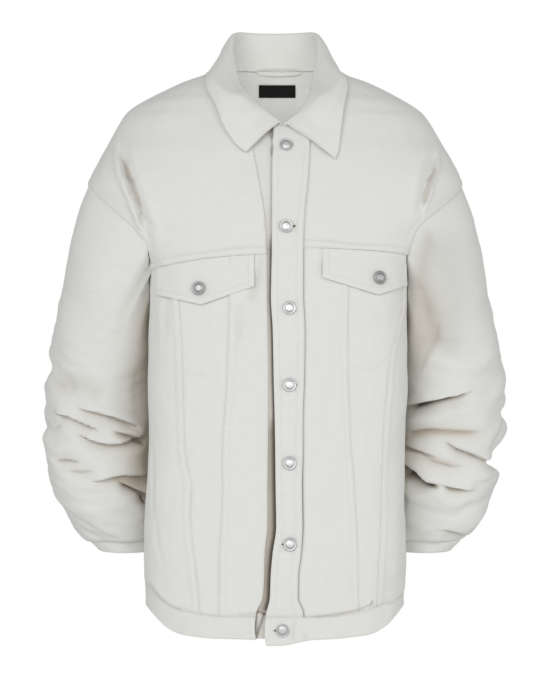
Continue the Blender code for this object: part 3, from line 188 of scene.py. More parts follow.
# Sections of the collar from its end on the right front, round the back, to its end on the
# left front: neck seam, fold and outer edge, each x, y, z.
COLLAR = tenths([
    (40, -1035, -790, 72, -1100, -752, -375, -1215, -1147),
    (-260, -1000, -760, -130, -930, -575, -500, -1160, -1040),
    (-530, -905, -615, -300, -710, -400, -655, -1080, -810),
    (-715, -760, -400, -455, -440, -200, -785, -930, -480),
    (-835, -480, -130, -530, -160, 80, -910, -660, -185),
    (-880, -100, 70, -570, 80, 360, -890, -200, 10),
    (-870, 300, 110, -560, 330, 590, -890, 280, 20),
    (-700, 630, 150, -455, 560, 668, -830, 720, 40),
    (-380, 800, 175, -270, 690, 676, -460, 960, 20), (0, 850, 180, 0, 730, 676, 0, 1020, 10),
    (380, 800, 175, 270, 690, 676, 460, 960, 20), (700, 630, 150, 460, 560, 668, 830, 720, 40),
    (870, 300, 110, 565, 330, 590, 890, 280, 20), (880, -100, 70, 570, 60, 330, 890, -200, 10),
    (835, -480, -130, 530, -180, 50, 960, -640, -200),
    (715, -790, -400, 480, -500, -260, 900, -930, -520),
    (530, -950, -615, 390, -780, -480, 850, -1080, -880),
    (330, -1040, -745, 260, -990, -650, 820, -1160, -1115),
    (140, -1085, -790, 128, -1125, -765, 775, -1215, -1235)])
FOLD_RADIUS = 0.0034
FOLD_SHARE = 0.30         # the roll narrows where the stand is low
LEAF_CLEARANCE = 0.0058   # from the shoulders to the middle of the collar's cloth

# Pocket flaps: where the sides, the point and the corners lie, as x and height.
# left x, right x, corner height left, point x, point height, corner height right
FLAP_RIGHT = (-0.1520, -0.0262, -0.2985, -0.0938, -0.3118, -0.2883)
FLAP_LEFT = (0.0600, 0.1690, -0.2775, 0.1319, -0.2990, -0.2860)
FLAP_CLEARANCE = 0.0010   # from the panel to the flap along its seam
FLAP_STANDOFF = 0.0014    # how much further its lower edge stands off

BUTTON_RADIUS = 0.0087
BUTTON_HEIGHT = 0.0042
BUTTON_SEAT = 0.0002      # how far a button sinks into the cloth
BUTTON_SIDES = 32
BUTTON_FINER = 3          # rings of its mesh to each ring of its profile
# Front buttons on the top placket: x, height
FRONT_BUTTONS = tenths([
    (148, -1059), (143, -2117), (182, -3158), (185, -4135), (186, -5123), (190, -6147), (94, -7237)])
POCKET_BUTTON_RIGHT = (-0.0964, -0.2907)
POCKET_BUTTON_LEFT = (0.1323, -0.2768)

LABEL = (-0.0228, 0.0289, -0.0170, -0.0002)     # left x, right x, lower and upper height
LABEL_THICKNESS = 0.0008
STRIP_COLUMNS = 41
LABEL_CLEARANCE = 0.0010  # from the back yoke, whose faces are flatter than the label's
LOOP_THICKNESS = 0.0014

# Seams
NEEDLE_EDGE = 0.0018      # first needle line, from the edge of a felled band
NEEDLE_FAR = 0.0078       # second needle line
NEEDLE_WIDTH = 0.0009
EDGE_LINES = np.array([0, 0.0007, 0.0018, 0.0029, 0.0045, 0.0067, 0.0078, 0.0089, 0.0105, 0.0130])
GROOVE = 0.00040          # how deep the stitches press into the cloth
BAND_RISE = 0.0012        # how far a felled band stands up
ROLL = 0.0007             # how far an edge rolls down
ROLL_WIDTH = 0.0012
UNDER_DIP = 0.0003
# Beside an edge of each kind: how warm it is painted, partly worn colour and partly painted
# shade in the seam, and over what distance.
EDGE_WEAR_AND_SHADE = {"over": (0.14, 0.0016), "yoke": (0.14, 0.0016), "hem": (0.14, 0.0016),
        "rim": (0.14, 0.0016), "under": (0.08, 0.0026), "deep": (0.08, 0.0026),
        "full": (0.22, 0.0022), "band": (0.22, 0.0022)}
# Dark lines of painted shade beside an edge of each kind, in the seam and the needle lines'
# grooves: strength, distance from the edge, half width.
DARK_LINES = {
    "over": ((0.06, 0.0, 0.0005), (0.04, NEEDLE_EDGE, 0.0007), (0.03, NEEDLE_FAR + 0.0016, 0.0008)),
    "yoke": ((0.06, 0.0, 0.0005), (0.04, NEEDLE_EDGE, 0.0007), (0.09, NEEDLE_FAR + 0.0016, 0.0008)),
    "under": ((0.12, 0.0, 0.0007),), "band": ((0.12, 0.0, 0.0007),),
    "deep": ((0.95, 0.0, 0.0016), (0.08, 0.0, 0.0030)), "full": ((0.08, 0.0, 0.0008),),
    "rim": ((0.05, NEEDLE_FAR, 0.0007),), "hem": ((0.05, NEEDLE_EDGE, 0.0007),),
}
PUCKER = 0.00030
PUCKER_PITCH = 0.0080
BODY_UNEVEN = 0.0008
CREASE_FULL = 0.0060      # a crease this deep is shaded fully warm
CLOTH_CRISP = 50.0        # degrees above which an edge of cloth, or of metal, is sharp
METAL_CRISP = 42.0
STEP = 0.0040             # spacing of a panel's grid away from its seams
BACK_STEP = 0.0052
YOKE_STEP = 0.0033
PLACKET_STEP = 0.0026
UNDER_STEP = 0.0020
FLAP_STEP = 0.0026
FINE = 240                # points of a seam line
NECK_FINE = 80            # points of a quarter of the neckline
SEARCH_STEPS = 40         # halvings when an angle is searched for
MEET_STEPS = 20           # steps when an edge is followed down to the hem
STITCH_PITCH = 0.0032
STITCH_LENGTH = 0.0024
STITCH_RADIUS = 0.00034
# Rings of a stitch: share of its length, share of its radius, rise as a share of its radius
STITCH_RINGS = ((0.0, 0.45, -0.25), (0.5, 1.1, 0.45), (1.0, 0.45, -0.25))

GAP_TOP = -0.2150         # below this height the fronts part beside the placket
GAP_DEPTH = 0.0030
GAP_WIDE = -0.4480        # below this height the gap is wider
# the creases at the lower end are painted shade only
GAP_TAIL = -0.6975        # below this height the placket behind is creased
# lines of painted shade along the creases at the lower end of the placket behind
TAIL_SHADE_LINES = (((-0.0225, -0.7000), (-0.0128, -0.7040)), ((-0.0138, -0.7030), (-0.0245, -0.7370)),
              ((-0.0238, -0.7010), (-0.0248, -0.7300)))
UNDER_LOW = -0.7358       # lower end of the placket behind
STITCH_MESHES = 4
FLAP_SEAT = 0.0014        # how far the yoke's band rises over a flap's seam
FLAP_TOP = 0.0016
FLAP_LIFT = 0.0014        # how far a flap's face lies off the panel at its seam
FLAP_CLOTH = 0.0014
SLEEVE_UNEVEN = 0.0016
SLEEVE_STEP = 0.0047      # spacing of a sleeve's columns and rows
SLEEVE_DROP = 0.0023
UNDER_ARM_COARSER = 1.18
CUFF_FLARE = 1.15         # a cuff's lowest part slants out on its outer side
CUFF_SHOWN = 0.0125
CUFF_NARROW = 0.0035
CUFF_COLUMNS = 120
CUFF_ROWS = 14
SAG = 0.45                # how far the cloth above a fold hangs over it, as a share of its depth
COLLAR_COLUMNS = 150
COLLAR_FINE = 800         # points of the collar's lines before they are spaced evenly
STAND_ROWS = 10           # rows of the stand, the fold and the leaf
ROLL_ROWS = 13
LEAF_ROWS = 17
LOOP_SEEN = (-0.0262, 0.0380, 0.0128, 0.0188)   # the loop hangs from the neck seam
LOOP_BOW = 0.0042
SEAM_DROP = 0.0150
LEAF_ROUND = 0.0035       # how far the leaf bows out
COLLAR_SEAM = 0.0008      # from the neckline to the collar's lower edge
BUTTONHOLE_SHIFTS = (0.0, 0.0042, 0.0022, 0.0022, 0.0, -0.0026, -0.0030)
BUTTONHOLE_LENGTH = 0.0165
BUTTONHOLE_WIDTH = 0.0018
EYELET_POINTS = 60        # points round an eyelet
EYELET_BEAD = 0.00055     # radius of its thread
EYELET_SIDES = 8          # points round its thread
EYELET_TURNS = 15         # turns of its thread, and how far each stands up
EYELET_SWELL = 0.18
SLIT_RISE = 0.00012
SLIT_DEPTH = 0.0006
# Rings of a button from its back to its middle: share of its radius, share of its height
BUTTON_PROFILE = np.array([
    (0.00, 0.00), (0.62, 0.00), (0.86, 0.10), (0.98, 0.26), (1.00, 0.40), (0.97, 0.58),
    (0.90, 0.68), (0.82, 0.66), (0.76, 0.62), (0.70, 0.61), (0.64, 0.66), (0.54, 0.76),
    (0.40, 0.83), (0.22, 0.87), (0.00, 0.88)])
# Brightness of a button from its middle out: lighter over the dome's middle, a painted highlight, and
# darker round the recess
METAL_RINGS = ((0.0, 0.84), (0.42, 0.76), (0.64, 0.54), (0.78, 0.62), (0.92, 0.64))
POCKET_METAL = 0.62       # the pockets' buttons have darkened to this share

CLOTH_LOW = (0.755, 0.757, 0.725, 1.0)
CLOTH_HIGH = (0.860, 0.866, 0.838, 1.0)
# warm colour of painted shade in creases, hollows and beside the body, and of worn cloth beside seams
CLOTH_WARM = (0.600, 0.525, 0.430, 1.0)
# dark colour of painted shade in seams, along folds and beside the placket
CLOTH_SHADE = (0.150, 0.130, 0.108, 1.0)
# inner faces are painted lighter, as painted light inside the neck
CLOTH_INSIDE_LIT = (0.86, 0.855, 0.82, 1.0)
THREAD_COLOUR = (0.800, 0.775, 0.720, 1.0)
# a thin dark sheet in each buttonhole, painted shadow in its slit
SLIT_SHADOW_COLOUR = (0.060, 0.052, 0.045, 1.0)
LABEL_COLOUR = (0.0086, 0.0086, 0.0080, 1.0)
TWILL_SCALE = 230.0

CAMERA_Y = -2.6
CAMERA_Z = -0.357075
CAMERA_LENS = 101.81
FLOOR_Z = -1.05
FLOOR_REACH = 1.0
WORLD_STRENGTH = 0.36
WHITE = (1.0, 1.0, 1.0, 1.0)
FLOOR_COLOUR = (0.86, 0.86, 0.86, 1.0)
# name, place, aim, size, power, spread in degrees
LIGHTS = (
    ("key", (-0.9, -2.8, 0.30), (0.0, 0.0, -0.35), (1.8, 1.8), 30.0, 180.0),
    ("fill", (1.3, -2.6, 0.0), (0.0, 0.0, -0.35), (1.6, 1.8), 16.0, 180.0),
    ("side_right", (-2.6, -0.9, -0.2), (0.0, 0.0, -0.35), (1.2, 1.6), 7.0, 180.0),
    ("side_left", (2.6, -0.9, -0.2), (0.0, 0.0, -0.35), (1.2, 1.6), 9.8, 180.0),
    ("neck", (0.0, -0.02, -0.09), (0.0, 0.095, -0.01), (0.08, 0.05), 0.030, 120.0),
    ("rear", (0.3, 2.6, 0.6), (0.0, 0.0, -0.3), (1.8, 1.8), 18.0, 180.0),
)

# Lower edge of the pocket's bag, as x and height
POCKET_BAG_RIGHT = tenths([
    (-1160, -3920), (-1070, -3985), (-890, -4010), (-725, -3920), (-625, -3830)])
POCKET_BAG_LEFT = tenths([
    (940, -3830), (1070, -3920), (1275, -3920), (1455, -3810)])

# Folds of the sleeves: depth, width, lip, and a line of points as degrees round the sleeve from
# its outline over the front (90) and the inner side (180) to the back (270), and height.
FOLDS_RIGHT = crease_rows([
    (85, 70, 1.0, (62, -4450, 74, -4457, 90, -4499, 104, -4548, 121, -4630, 133, -4727,
        142, -4800)),
    (80, 80, 1.0, (36, -4530, 63, -4563, 79, -4656, 90, -4729, 99, -4830)),
    (80, 75, 1.0, (64, -4730, 74, -4809, 89, -4888, 104, -4934, 115, -4924, 126, -4879, 136, -4815,
        156, -4720)),
    (65, 60, 1.0, (104, -4800, 115, -4784, 126, -4813, 138, -4834, 156, -4850)),
    (75, 90, 1.0, (78, -5467, 92, -5428, 106, -5366, 116, -5342, 139, -5364, 160, -5370)),
    (95, 80, 1.0, (107, -5415, 123, -5482, 132, -5540, 139, -5607, 156, -5700)),
    (50, 90, 0.5, (40, -5167, 59, -5152, 76, -5176)),
    (36, 90, 0.5, (56, -5310, 76, -5310, 92, -5289)),
    (30, 100, 0.0, (40, -4202, 58, -4178, 72, -4206)),
    (35, 110, 0.0, (-34, -3960, 0, -3980, 30, -3960)),
    (40, 90, 0.3, (-40, -4720, 0, -4730, 34, -4690)),
    (60, 95, 0.9, (186, -4460, 230, -4500, 276, -4640)),
    (70, 95, 0.9, (230, -4970, 280, -4900, 326, -4760)),
    (65, 95, 0.9, (194, -5350, 230, -5460, 268, -5480)),
    (50, 100, 0.7, (246, -5710, 290, -5670, 332, -5560)),
    (45, 110, 0.3, (205, -3700, 240, -3900, 275, -4000)),
], degrees=True)
FOLDS_LEFT = crease_rows([
    (130, 85, 1.0, (66, -4225, 82, -4255, 98, -4280, 118, -4335, 140, -4390, 172, -4470)),
    (80, 110, 0.5, (46, -4780, 66, -4772, 83, -4762, 101, -4749, 127, -4745, 141, -4789,
        158, -4810)),
    (85, 80, 0.9, (34, -5190, 57, -5140, 76, -5048, 92, -4973, 107, -4890)),
    (65, 85, 0.8, (73, -5196, 90, -5230, 111, -5155, 124, -5038, 140, -4985, 158, -4930)),
    (230, 110, 1.0, (99, -5514, 104, -5476, 118, -5360, 128, -5246, 139, -5179, 172, -5080)),
    (75, 80, 1.0, (62, -5560, 87, -5500, 103, -5475)),
    (40, 85, 0.7, (8, -6239, 63, -6131, 78, -6097, 97, -6097)),
    (35, 70, 0.9, (10, -4480, 24, -4620, 42, -4870, 62, -5120)),
    (48, 190, 0.1, (88, -2500, 104, -3050, 118, -3500, 132, -3950)),
    (30, 100, 0.0, (-30, -4560, 0, -4560, 26, -4540)),
    (60, 95, 0.9, (188, -4380, 236, -4480, 282, -4600)),
    (65, 95, 0.9, (234, -5010, 280, -4960, 326, -4840)),
    (65, 95, 0.9, (198, -5440, 236, -5540, 274, -5560)),
    (45, 100, 0.7, (256, -5870, 296, -5830, 336, -5740)),
    (45, 110, 0.3, (210, -3600, 245, -3800, 280, -3880)),
], degrees=True)

# Places where a sleeve is pressed in: depth, degrees, their reach, height, its reach above and
# below
PRESSED_RIGHT = ((0.0040, 0, 40, -0.3900, 0.0140, 0.0140), (0.0035, 0, 40, -0.4730, 0.0120, 0.0120))
PRESSED_LEFT = ((0.0290, -2, 46, -0.5245, 0.0240, 0.0075), (0.0045, 0, 45, -0.5680, 0.0200, 0.0200),
                (0.0050, 0, 42, -0.4540, 0.0060, 0.0090))

# Painted warm shade and darkness of the sleeves beside the body, right and left
INNER_TAN = (1.15, 0.60)
INNER_DARK = (0.16, 0.0)

# Places where a sleeve is painted with warm shade: share, degrees, their reach, height, its reach
PATCHES_RIGHT = ((0.50, 155, 26, -0.3900, 0.0450), (0.25, 150, 26, -0.5150, 0.0300))
PATCHES_LEFT = ((0.22, 112, 26, -0.2950, 0.0600), (0.16, 142, 30, -0.3700, 0.0500))

# Shade drawn along lines: darkness, warmth, half width at the start, middle and end, and points
# as degrees and height on a sleeve, as x and height on the front.
SHADE_RIGHT = shade_rows([
    (0.5, 0.3, (7, 12, 14), (75, -4483, 89, -4503, 105, -4549, 119, -4607, 130, -4681, 133, -4733)),
    (0.6, 0.3, (7, 14, 27), (41, -4536, 60, -4552, 70, -4597, 79, -4649, 90, -4714)),
    (0.6, 0.3, (8, 15, 11), (69, -4762, 76, -4818, 89, -4887, 104, -4934, 115, -4923, 130, -4876)),
    (0.6, 0.4, (8, 18, 33), (105, -4760, 115, -4778, 127, -4814, 141, -4848)),
    (0.12, 0.6, (20, 41, 27), (105, -4792, 117, -4817, 131, -4853)),
    (0.65, 0.4, (11, 25, 41), (128, -4892, 136, -4919, 143, -4944)),
    (0.5, 0.3, (7, 14, 14), (82, -5448, 92, -5414, 107, -5352, 120, -5341, 135, -5355)),
    (0.1, 0.5, (27, 68, 82), (102, -5408, 119, -5425, 138, -5446)),
    (0.75, 0.4, (8, 19, 35), (115, -5457, 124, -5504, 134, -5555, 142, -5610)),
    (0.85, 0.3, (27, 44, 27), (138, -5635, 140, -5690, 139, -5758)),
    (0.28, 0.35, (11, 25, 11), (42, -5183, 60, -5157, 74, -5176)),
    (0.08, 0.4, (14, 33, 14), (62, -5295, 74, -5305, 85, -5294)),
    (0.2, 0.45, (14, 25, 14), (44, -4717, 49, -4721, 53, -4717)),
    (0.09, 0.16, (109, 150, 109), (31, -4181, 57, -4109, 80, -4169, 99, -4329)),
    (0.05, 0.24, (41, 61, 41), (131, -3855, 132, -4095, 132, -4364, 133, -4604)),
], degrees=True)
SHADE_LEFT = shade_rows([
    (0.85, 0.45, (10, 23, 41), (85, -4288, 97, -4318, 119, -4370, 147, -4454)),
    (0.04, 0.5, (14, 30, 20), (80, -4264, 92, -4296, 108, -4339)),
    (0.1, 0.62, (25, 49, 46), (63, -4785, 92, -4772, 119, -4768, 146, -4833)),
    (0.3, 0.2, (8, 19, 14), (97, -4737, 113, -4730, 130, -4761, 146, -4810)),
    (0.6, 0.4, (11, 20, 27), (105, -5118, 116, -5068, 134, -5020, 150, -4988)),
    (0.04, 0.45, (14, 41, 27), (83, -5214, 97, -5169, 114, -5114)),
    (0.45, 0.2, (7, 12, 16), (62, -5169, 76, -5042, 91, -4979, 102, -4903)),
    (1.0, 0.35, (16, 55, 68), (100, -5536, 114, -5466, 127, -5383, 146, -5303)),
    (0.6, 0.35, (8, 16, 23), (78, -5519, 89, -5496, 97, -5503)),
    (0.1, 0.6, (20, 41, 20), (72, -5557, 82, -5551, 95, -5537)),
    (0.4, 0.2, (7, 12, 8), (42, -6194, 65, -6139, 82, -6100)),
    (0.09, 0.2, (27, 75, 109), (66, -2040, 74, -2328, 89, -2651, 103, -2976)),
    (0.05, 0.16, (109, 150, 109), (97, -2847, 101, -3200, 104, -3632)),
    (0.11, 0.18, (27, 55, 27), (94, -3280, 103, -3535, 118, -3750, 131, -4013)),
    (0.12, 0.09, (232, 273, 218), (61, -1928, 70, -2469, 85, -3199, 99, -3853)),
    (0.05, 0.1, (82, 109, 68), (120, -3432, 131, -3720, 139, -4163)),
], degrees=True)
SHADE_FRONT = shade_rows([
    (0.2, 0.55, (12, 38, 18), (-2014, -1166, -1942, -1336, -1856, -1514, -1785, -1701,
        -1740, -1885)),
    (0.26, 0.1, (8, 15, 8), (-2048, -1065, -1985, -1279, -1903, -1486, -1826, -1700, -1757, -1910,
        -1707, -2116)),
    (0.12, 0.5, (10, 33, 13), (2101, -1271, 2028, -1480, 1985, -1654, 1932, -1827)),
    (0.22, 0.05, (8, 13, 8), (2087, -1258, 2005, -1481, 1954, -1656, 1913, -1866)),
    (0.24, 0.36, (13, 18, 12), (342, -7065, 571, -7064, 851, -7034, 1081, -6990, 1237, -6924)),
    (0.55, 0.15, (10, 14, 9), (1198, -6947, 1237, -6917, 1243, -6872)),
    (0.1, 0.16, (13, 19, 13), (-494, -7050, -317, -7039, -165, -6997)),
    (0.1, 0.2, (15, 23, 13), (-1677, -6710, -1529, -6829, -1315, -6961, -1133, -7015)),
    (0.12, 0.06, (8, 13, 8), (247, -7086, 215, -7215, 222, -7382)),
    (0.2, 0.05, (10, 18, 10), (361, -7254, 374, -7319, 381, -7383)),
    (0.05, 0.03, (8, 12, 8), (-89, -6971, 127, -6975, 304, -6965)),
    (0.3, 0.6, (38, 26, 10), (-80, -783, -60, -857, -39, -965)),
    (0.03, 0.22, (26, 33, 26), (-58, -1773, -77, -2058, -83, -2341, -57, -2572)),
    (0.35, 0.1, (10, 17, 10), (-39, -1033, -39, -1113, -39, -1193)),
    (0.09, 0.05, (19, 38, 51), (-159, -2418, -191, -2623, -242, -2839, -311, -3081)),
    (0.06, 0.04, (26, 45, 32), (-407, -3056, -445, -3285, -464, -3628)),
])

# Creases of the body: depth, width, lip, and a line of points as x and height.
FRONT_CREASES = crease_rows([
    (85, 62, 1.0, (-1640, -2340, -1731, -2001, -1825, -1752, -1923, -1485, -2016, -1208,
        -2080, -900)),
    (60, 58, 1.0, (2140, -1020, 2051, -1343, 1996, -1503, 1930, -1798, 1900, -2000)),
    (26, 85, 0.0, (-105, -2560, -216, -2750, -330, -3285, -457, -3817)),
    (12, 100, 0.0, (-457, -3528, -470, -3945, -444, -4362)),
    (9, 70, 0.3, (-1550, -5774, -1498, -6189, -1408, -6507)),
    (16, 80, 0.0, (-1605, -4759, -1570, -5366, -1582, -5979)),
    (16, 90, 0.0, (-1323, -2437, -1401, -3050, -1438, -3729)),
    (10, 90, 0.0, (-800, -4607, -889, -5215, -837, -5757)),
    (10, 90, 0.0, (698, -4806, 737, -4072, 891, -3210)),
    (16, 90, 0.0, (1205, -6344, 1405, -6451, 1560, -6562)),
])
BACK_CREASES = crease_rows([
    (30, 110, 0.3, (-900, -1300, -1230, -1660, -1500, -2100)),
    (26, 110, 0.3, (900, -1300, 1150, -1680, 1450, -2000)),
    (16, 130, 0.0, (-300, -2600, -450, -3400, -500, -4200)),
    (18, 130, 0.0, (500, -2800, 400, -3700, 380, -4500)),
    (24, 100, 0.3, (-1400, -3300, -1280, -3800, -1100, -4100)),
    (20, 100, 0.3, (1350, -3600, 1270, -4100, 1150, -4500)),
    (16, 110, 0.0, (-800, -5600, -850, -6100, -850, -6600)),
    (18, 110, 0.0, (700, -5800, 750, -6300, 750, -6700)),
])


def smooth(at, knots, values):
    """Monotone cubic through the knots, held level beyond both ends."""
    knots = np.asarray(knots, float)
    values = np.asarray(values, float)
    if knots[0] > knots[-1]:
        knots = knots[::-1]
        values = values[::-1]
    steps = np.diff(knots)
    slopes = np.diff(values) / steps
    tangents = np.zeros_like(values)
    tangents[0] = slopes[0]
    tangents[-1] = slopes[-1]
    rising = slopes[:-1] * slopes[1:] > 0
    near = 2 * steps[1:] + steps[:-1]
    far = steps[1:] + 2 * steps[:-1]
    before = np.where(rising, slopes[:-1], 1.0)
    after = np.where(rising, slopes[1:], 1.0)
    tangents[1:-1] = np.where(rising, (near + far) / (near / before + far / after), 0.0)
    at = np.clip(np.asarray(at, float), knots[0], knots[-1])
    span = np.clip(np.searchsorted(knots, at, side="right") - 1, 0, len(steps) - 1)
    part = (at - knots[span]) / steps[span]
    rest = 1 - part
    value = (1 + 2 * part) * rest ** 2 * values[span] + part ** 2 * (3 - 2 * part) * values[span + 1]
    turn = part * rest ** 2 * tangents[span] - part ** 2 * rest * tangents[span + 1]
    return value + turn * steps[span]


def ease(at):
    """0 below 0, 1 above 1, and a soft step between."""
    at = np.clip(at, 0.0, 1.0)
    return at * at * (3 - 2 * at)


def bell(away, width=1.0):
    """1 at 0, falling to 1 / e at the width on both sides: exp(-(away / width) ** 2)."""
    return np.exp(-(away / width) ** 2)


def wrapped(angle, whole=2 * math.pi):
    """The same angle between minus half a turn and half a turn."""
    return (angle + whole / 2) % whole - whole / 2


def column_at(table, at, column):
    """A column of a table, read smoothly at values of its first column."""
    return smooth(at, table[:, 0], table[:, column])


def body_level(height):
    return [column_at(BODY, height, column) for column in range(1, 8)]


def body_point(angle, height):
    """A point of the body's outer face; angles in radians from the front, + to the left side."""
    half, shift, front, back, widest, front_square, back_square = body_level(height)
    ahead = np.cos(angle) >= 0
    square = np.where(ahead, front_square, back_square)
    across = (np.sin(angle) + square * np.sin(3 * angle)) / (1 - square)
    along = (np.cos(angle) - square * np.cos(3 * angle)) / (1 - square)
    depth = np.where(ahead, front - widest, widest - back)
    return np.stack([shift + half * across, widest + depth * along, height + 0 * angle], -1)


def body_angle(x, height, rear=False):
    """The angle at which a level of the body reaches x, on its front or its back half."""
    half, shift, *_, front_square, back_square = body_level(height)
    square = back_square if rear else front_square
    target = np.clip((x - shift) / half, -1.0, 1.0) * (1 - square)
    low = np.full(np.shape(target), -math.pi / 2)
    high = np.full(np.shape(target), math.pi / 2)
    for _ in range(SEARCH_STEPS):
        middle = (low + high) / 2
        over = np.sin(middle) + square * np.sin(3 * middle) > target
        high = np.where(over, middle, high)
        low = np.where(over, low, middle)
    angle = (low + high) / 2
    return np.where(angle < 0, -math.pi - angle, math.pi - angle) if rear else angle


def body_normal(angle, height):
    step = 2e-4
    round_body = body_point(angle + step, height) - body_point(angle - step, height)
    down_body = body_point(angle, height - step) - body_point(angle, height + step)
    return unit(np.cross(down_body, round_body))


def unit(vectors):
    return vectors / np.maximum(np.linalg.norm(vectors, axis=-1, keepdims=True), 1e-12)


def overlap_lift(x):
    """The left front rides over the right one near the middle and settles further out."""
    return OVERLAP_LIFT * (1 - ease((x - OVERLAP_START) / OVERLAP_SPAN))


def lengths_along(points):
    """How far along a line of points each of them lies."""
    steps = np.linalg.norm(np.diff(points, axis=0), axis=1)
    return np.concatenate([[0], np.cumsum(steps)])


def read_off(at, knots, columns, curve=np.interp):
    """Every column of a table, read between its knots by the curve given."""
    return np.stack([curve(at, knots, values) for values in np.transpose(columns)], -1)


def even_line(points, count):
    """Points at equal steps of length along a line."""
    lengths = lengths_along(points)
    return read_off(np.linspace(0, lengths[-1], count + 1), lengths, points)


def rounded_line(points, count):
    """The same through a soft curve, measured along the line."""
    lengths = lengths_along(points)
    return even_line(read_off(np.linspace(0, lengths[-1], 60), lengths, points, smooth), count)


# ---------------------------------------------------------------- lines on the body

class Line:
    """A seam or an edge as a curve of (angle, height); share 0 to 1 runs along its length."""

    def __init__(self, points):
        self.points = np.asarray(points, float)
        lengths = lengths_along(body_point(self.points[:, 0], self.points[:, 1]))
        self.shares = lengths / lengths[-1]

    def __call__(self, share):
        return read_off(share, self.shares, self.points)

    def back(self):
        return Line(self.points[::-1])


def joined(*lines):
    """Lines that share their end points, as one line."""
    parts = [line.points if isinstance(line, Line) else line for line in lines]
    return Line(np.concatenate([parts[0]] + [part[1:] for part in parts[1:]]))


def front_line(x_values, heights, rear=False):
    """Points of (angle, height) on the front half of the body, or on its back half."""
    return np.stack([body_angle(x_values, heights, rear), heights], -1)


def yoke_height(x):
    return np.interp(x, FRONT_YOKE_EDGE[:, 0], FRONT_YOKE_EDGE[:, 1])


def hem_height(angle, column):
    """Height of the hem's seam (1) or edge (2); on the left front the seam runs lower."""
    turned = wrapped(np.degrees(angle), 360)
    height = column_at(HEM, np.abs(turned), column)
    if column == 1:
        height = height - SEAM_DROP * ease((turned - 47) / 14) * ease((96 - turned) / 18)
    return height


def placket_x(column, height):
    return column_at(PLACKET, height, column)


def slant_x(column, height):
    return column_at(SLANTS, height, column)


def neck_front(x):
    return column_at(NECK_FRONT, np.abs(x), 1)


def meet_hem(x_at, column):
    """The height at which an edge, given as x at a height, meets a line of the hem."""
    height = HEM[:1, column].copy()
    for _ in range(MEET_STEPS):
        height = hem_height(body_angle(x_at(height), height), column)
    return float(height[0])


def edge_line(x_at, top, bottom):
    heights = np.linspace(top, bottom, FINE)
    return Line(front_line(x_at(heights), heights))


def level_line(start_x, end_x, height_at):
    """A line across the front between two x values, at a height that depends on x."""
    x_values = np.linspace(start_x, end_x, FINE)
    return Line(front_line(x_values, height_at(x_values)))


def hem_line(start, end, column):
    angles = np.linspace(start, end, FINE)
    return Line(np.stack([angles, hem_height(angles, column)], -1))


class Front:
    """The seams of one front; side is -1 (the wearer's right) or +1 (the left)."""

    def __init__(self, side):
        self.side = side
        left = side > 0
        self.middle_x = partial(placket_x, 3 if left else 1)
        self.inner_x = partial(slant_x, 3 if left else 2)
        self.outer_x = partial(slant_x, 4 if left else 1)
        table = ARMHOLE_FRONT_LEFT if left else ARMHOLE_FRONT_RIGHT
        line = rounded_line(table, FINE)
        self.armhole = Line(front_line(side * line[:, 0], line[:, 1]))
        self.corner_x = side * table[-1, 0]
        start, inner, outer = [float(edge(YOKE_LEVEL)) for edge in
                               (self.middle_x, self.inner_x, self.outer_x)]
        self.yoke_middle = level_line(start, inner, yoke_height)
        self.yoke_pocket = level_line(inner, outer, yoke_height)
        self.yoke_side = level_line(outer, self.corner_x, yoke_height)
        self.yoke_side.points[-1] = self.armhole.points[-1]
        start_x = float(self.middle_x(NECK_LEVEL))
        start_height = float(neck_front(start_x))
        rest = NECK_FRONT[NECK_FRONT[:, 0] > abs(start_x) + 2 * CLOTH]
        line = rounded_line(np.concatenate([[(abs(start_x), start_height)], rest]), FINE)
        self.neckline = Line(front_line(side * line[:, 0], line[:, 1]))
        heights = np.linspace(NECK_FRONT[-1, 1], ARMHOLE_BACK[0, 1], FINE)
        self.shoulder = Line(np.stack([np.full(FINE, side * math.pi / 2), heights], -1))
        self.neck_edge = edge_line(self.middle_x, start_height, float(yoke_height(start)))
        self.middle, self.inner, self.outer = [
            edge_line(edge, float(yoke_height(place)), meet_hem(edge, 1)) for edge, place in
            ((self.middle_x, start), (self.inner_x, inner), (self.outer_x, outer))]
        top_angle, top = math.radians(UNDERARM_FRONT[-1, 0]), UNDERARM_FRONT[-1, 1]
        bottom_angle = math.radians(SIDE_SEAM)
        angles = np.linspace(top_angle, bottom_angle, FINE)
        heights = np.linspace(top, float(hem_height(bottom_angle, 1)), FINE)
        self.side_seam = Line(np.stack([side * angles, heights], -1))
        self.under_front = self.underarm(UNDERARM_FRONT[::-1], self.armhole.points[-1])
        back = rounded_line(ARMHOLE_BACK, FINE)
        self.back_armhole = Line(front_line(side * back[:, 0], back[:, 1], rear=True))
        self.under_back = self.underarm(np.concatenate([UNDERARM_FRONT[-1:], UNDERARM_BACK]),
                                        self.back_armhole.points[-1])

    def underarm(self, table, corner):
        """Armhole under the arm, from the side seam to a yoke corner."""
        line = np.stack([self.side * np.radians(table[:, 0]), table[:, 1]], -1)
        line = np.concatenate([line, [corner]])
        scale = np.array([BODY_RADIUS, 1.0])
        return Line(rounded_line(line * scale, FINE) / scale)


# ---------------------------------------------------------------- relief of the cloth

def wander(across, along, size, seed):
    """Soft unevenness from -1 to 1: a sum of plane waves of about one size, at random turns."""
    random = np.random.RandomState(seed)
    turns = random.uniform(0, 2 * math.pi, 14)
    sizes = size * random.uniform(0.7, 1.6, 14)
    starts = random.uniform(0, 2 * math.pi, 14)
    total = np.zeros(np.shape(across))
    for turn, wave, start in zip(turns, sizes, starts):
        total += np.sin(2 * math.pi * (across * math.cos(turn) + along * math.sin(turn)) / wave
                        + start)
    return total / math.sqrt(14 * 2)


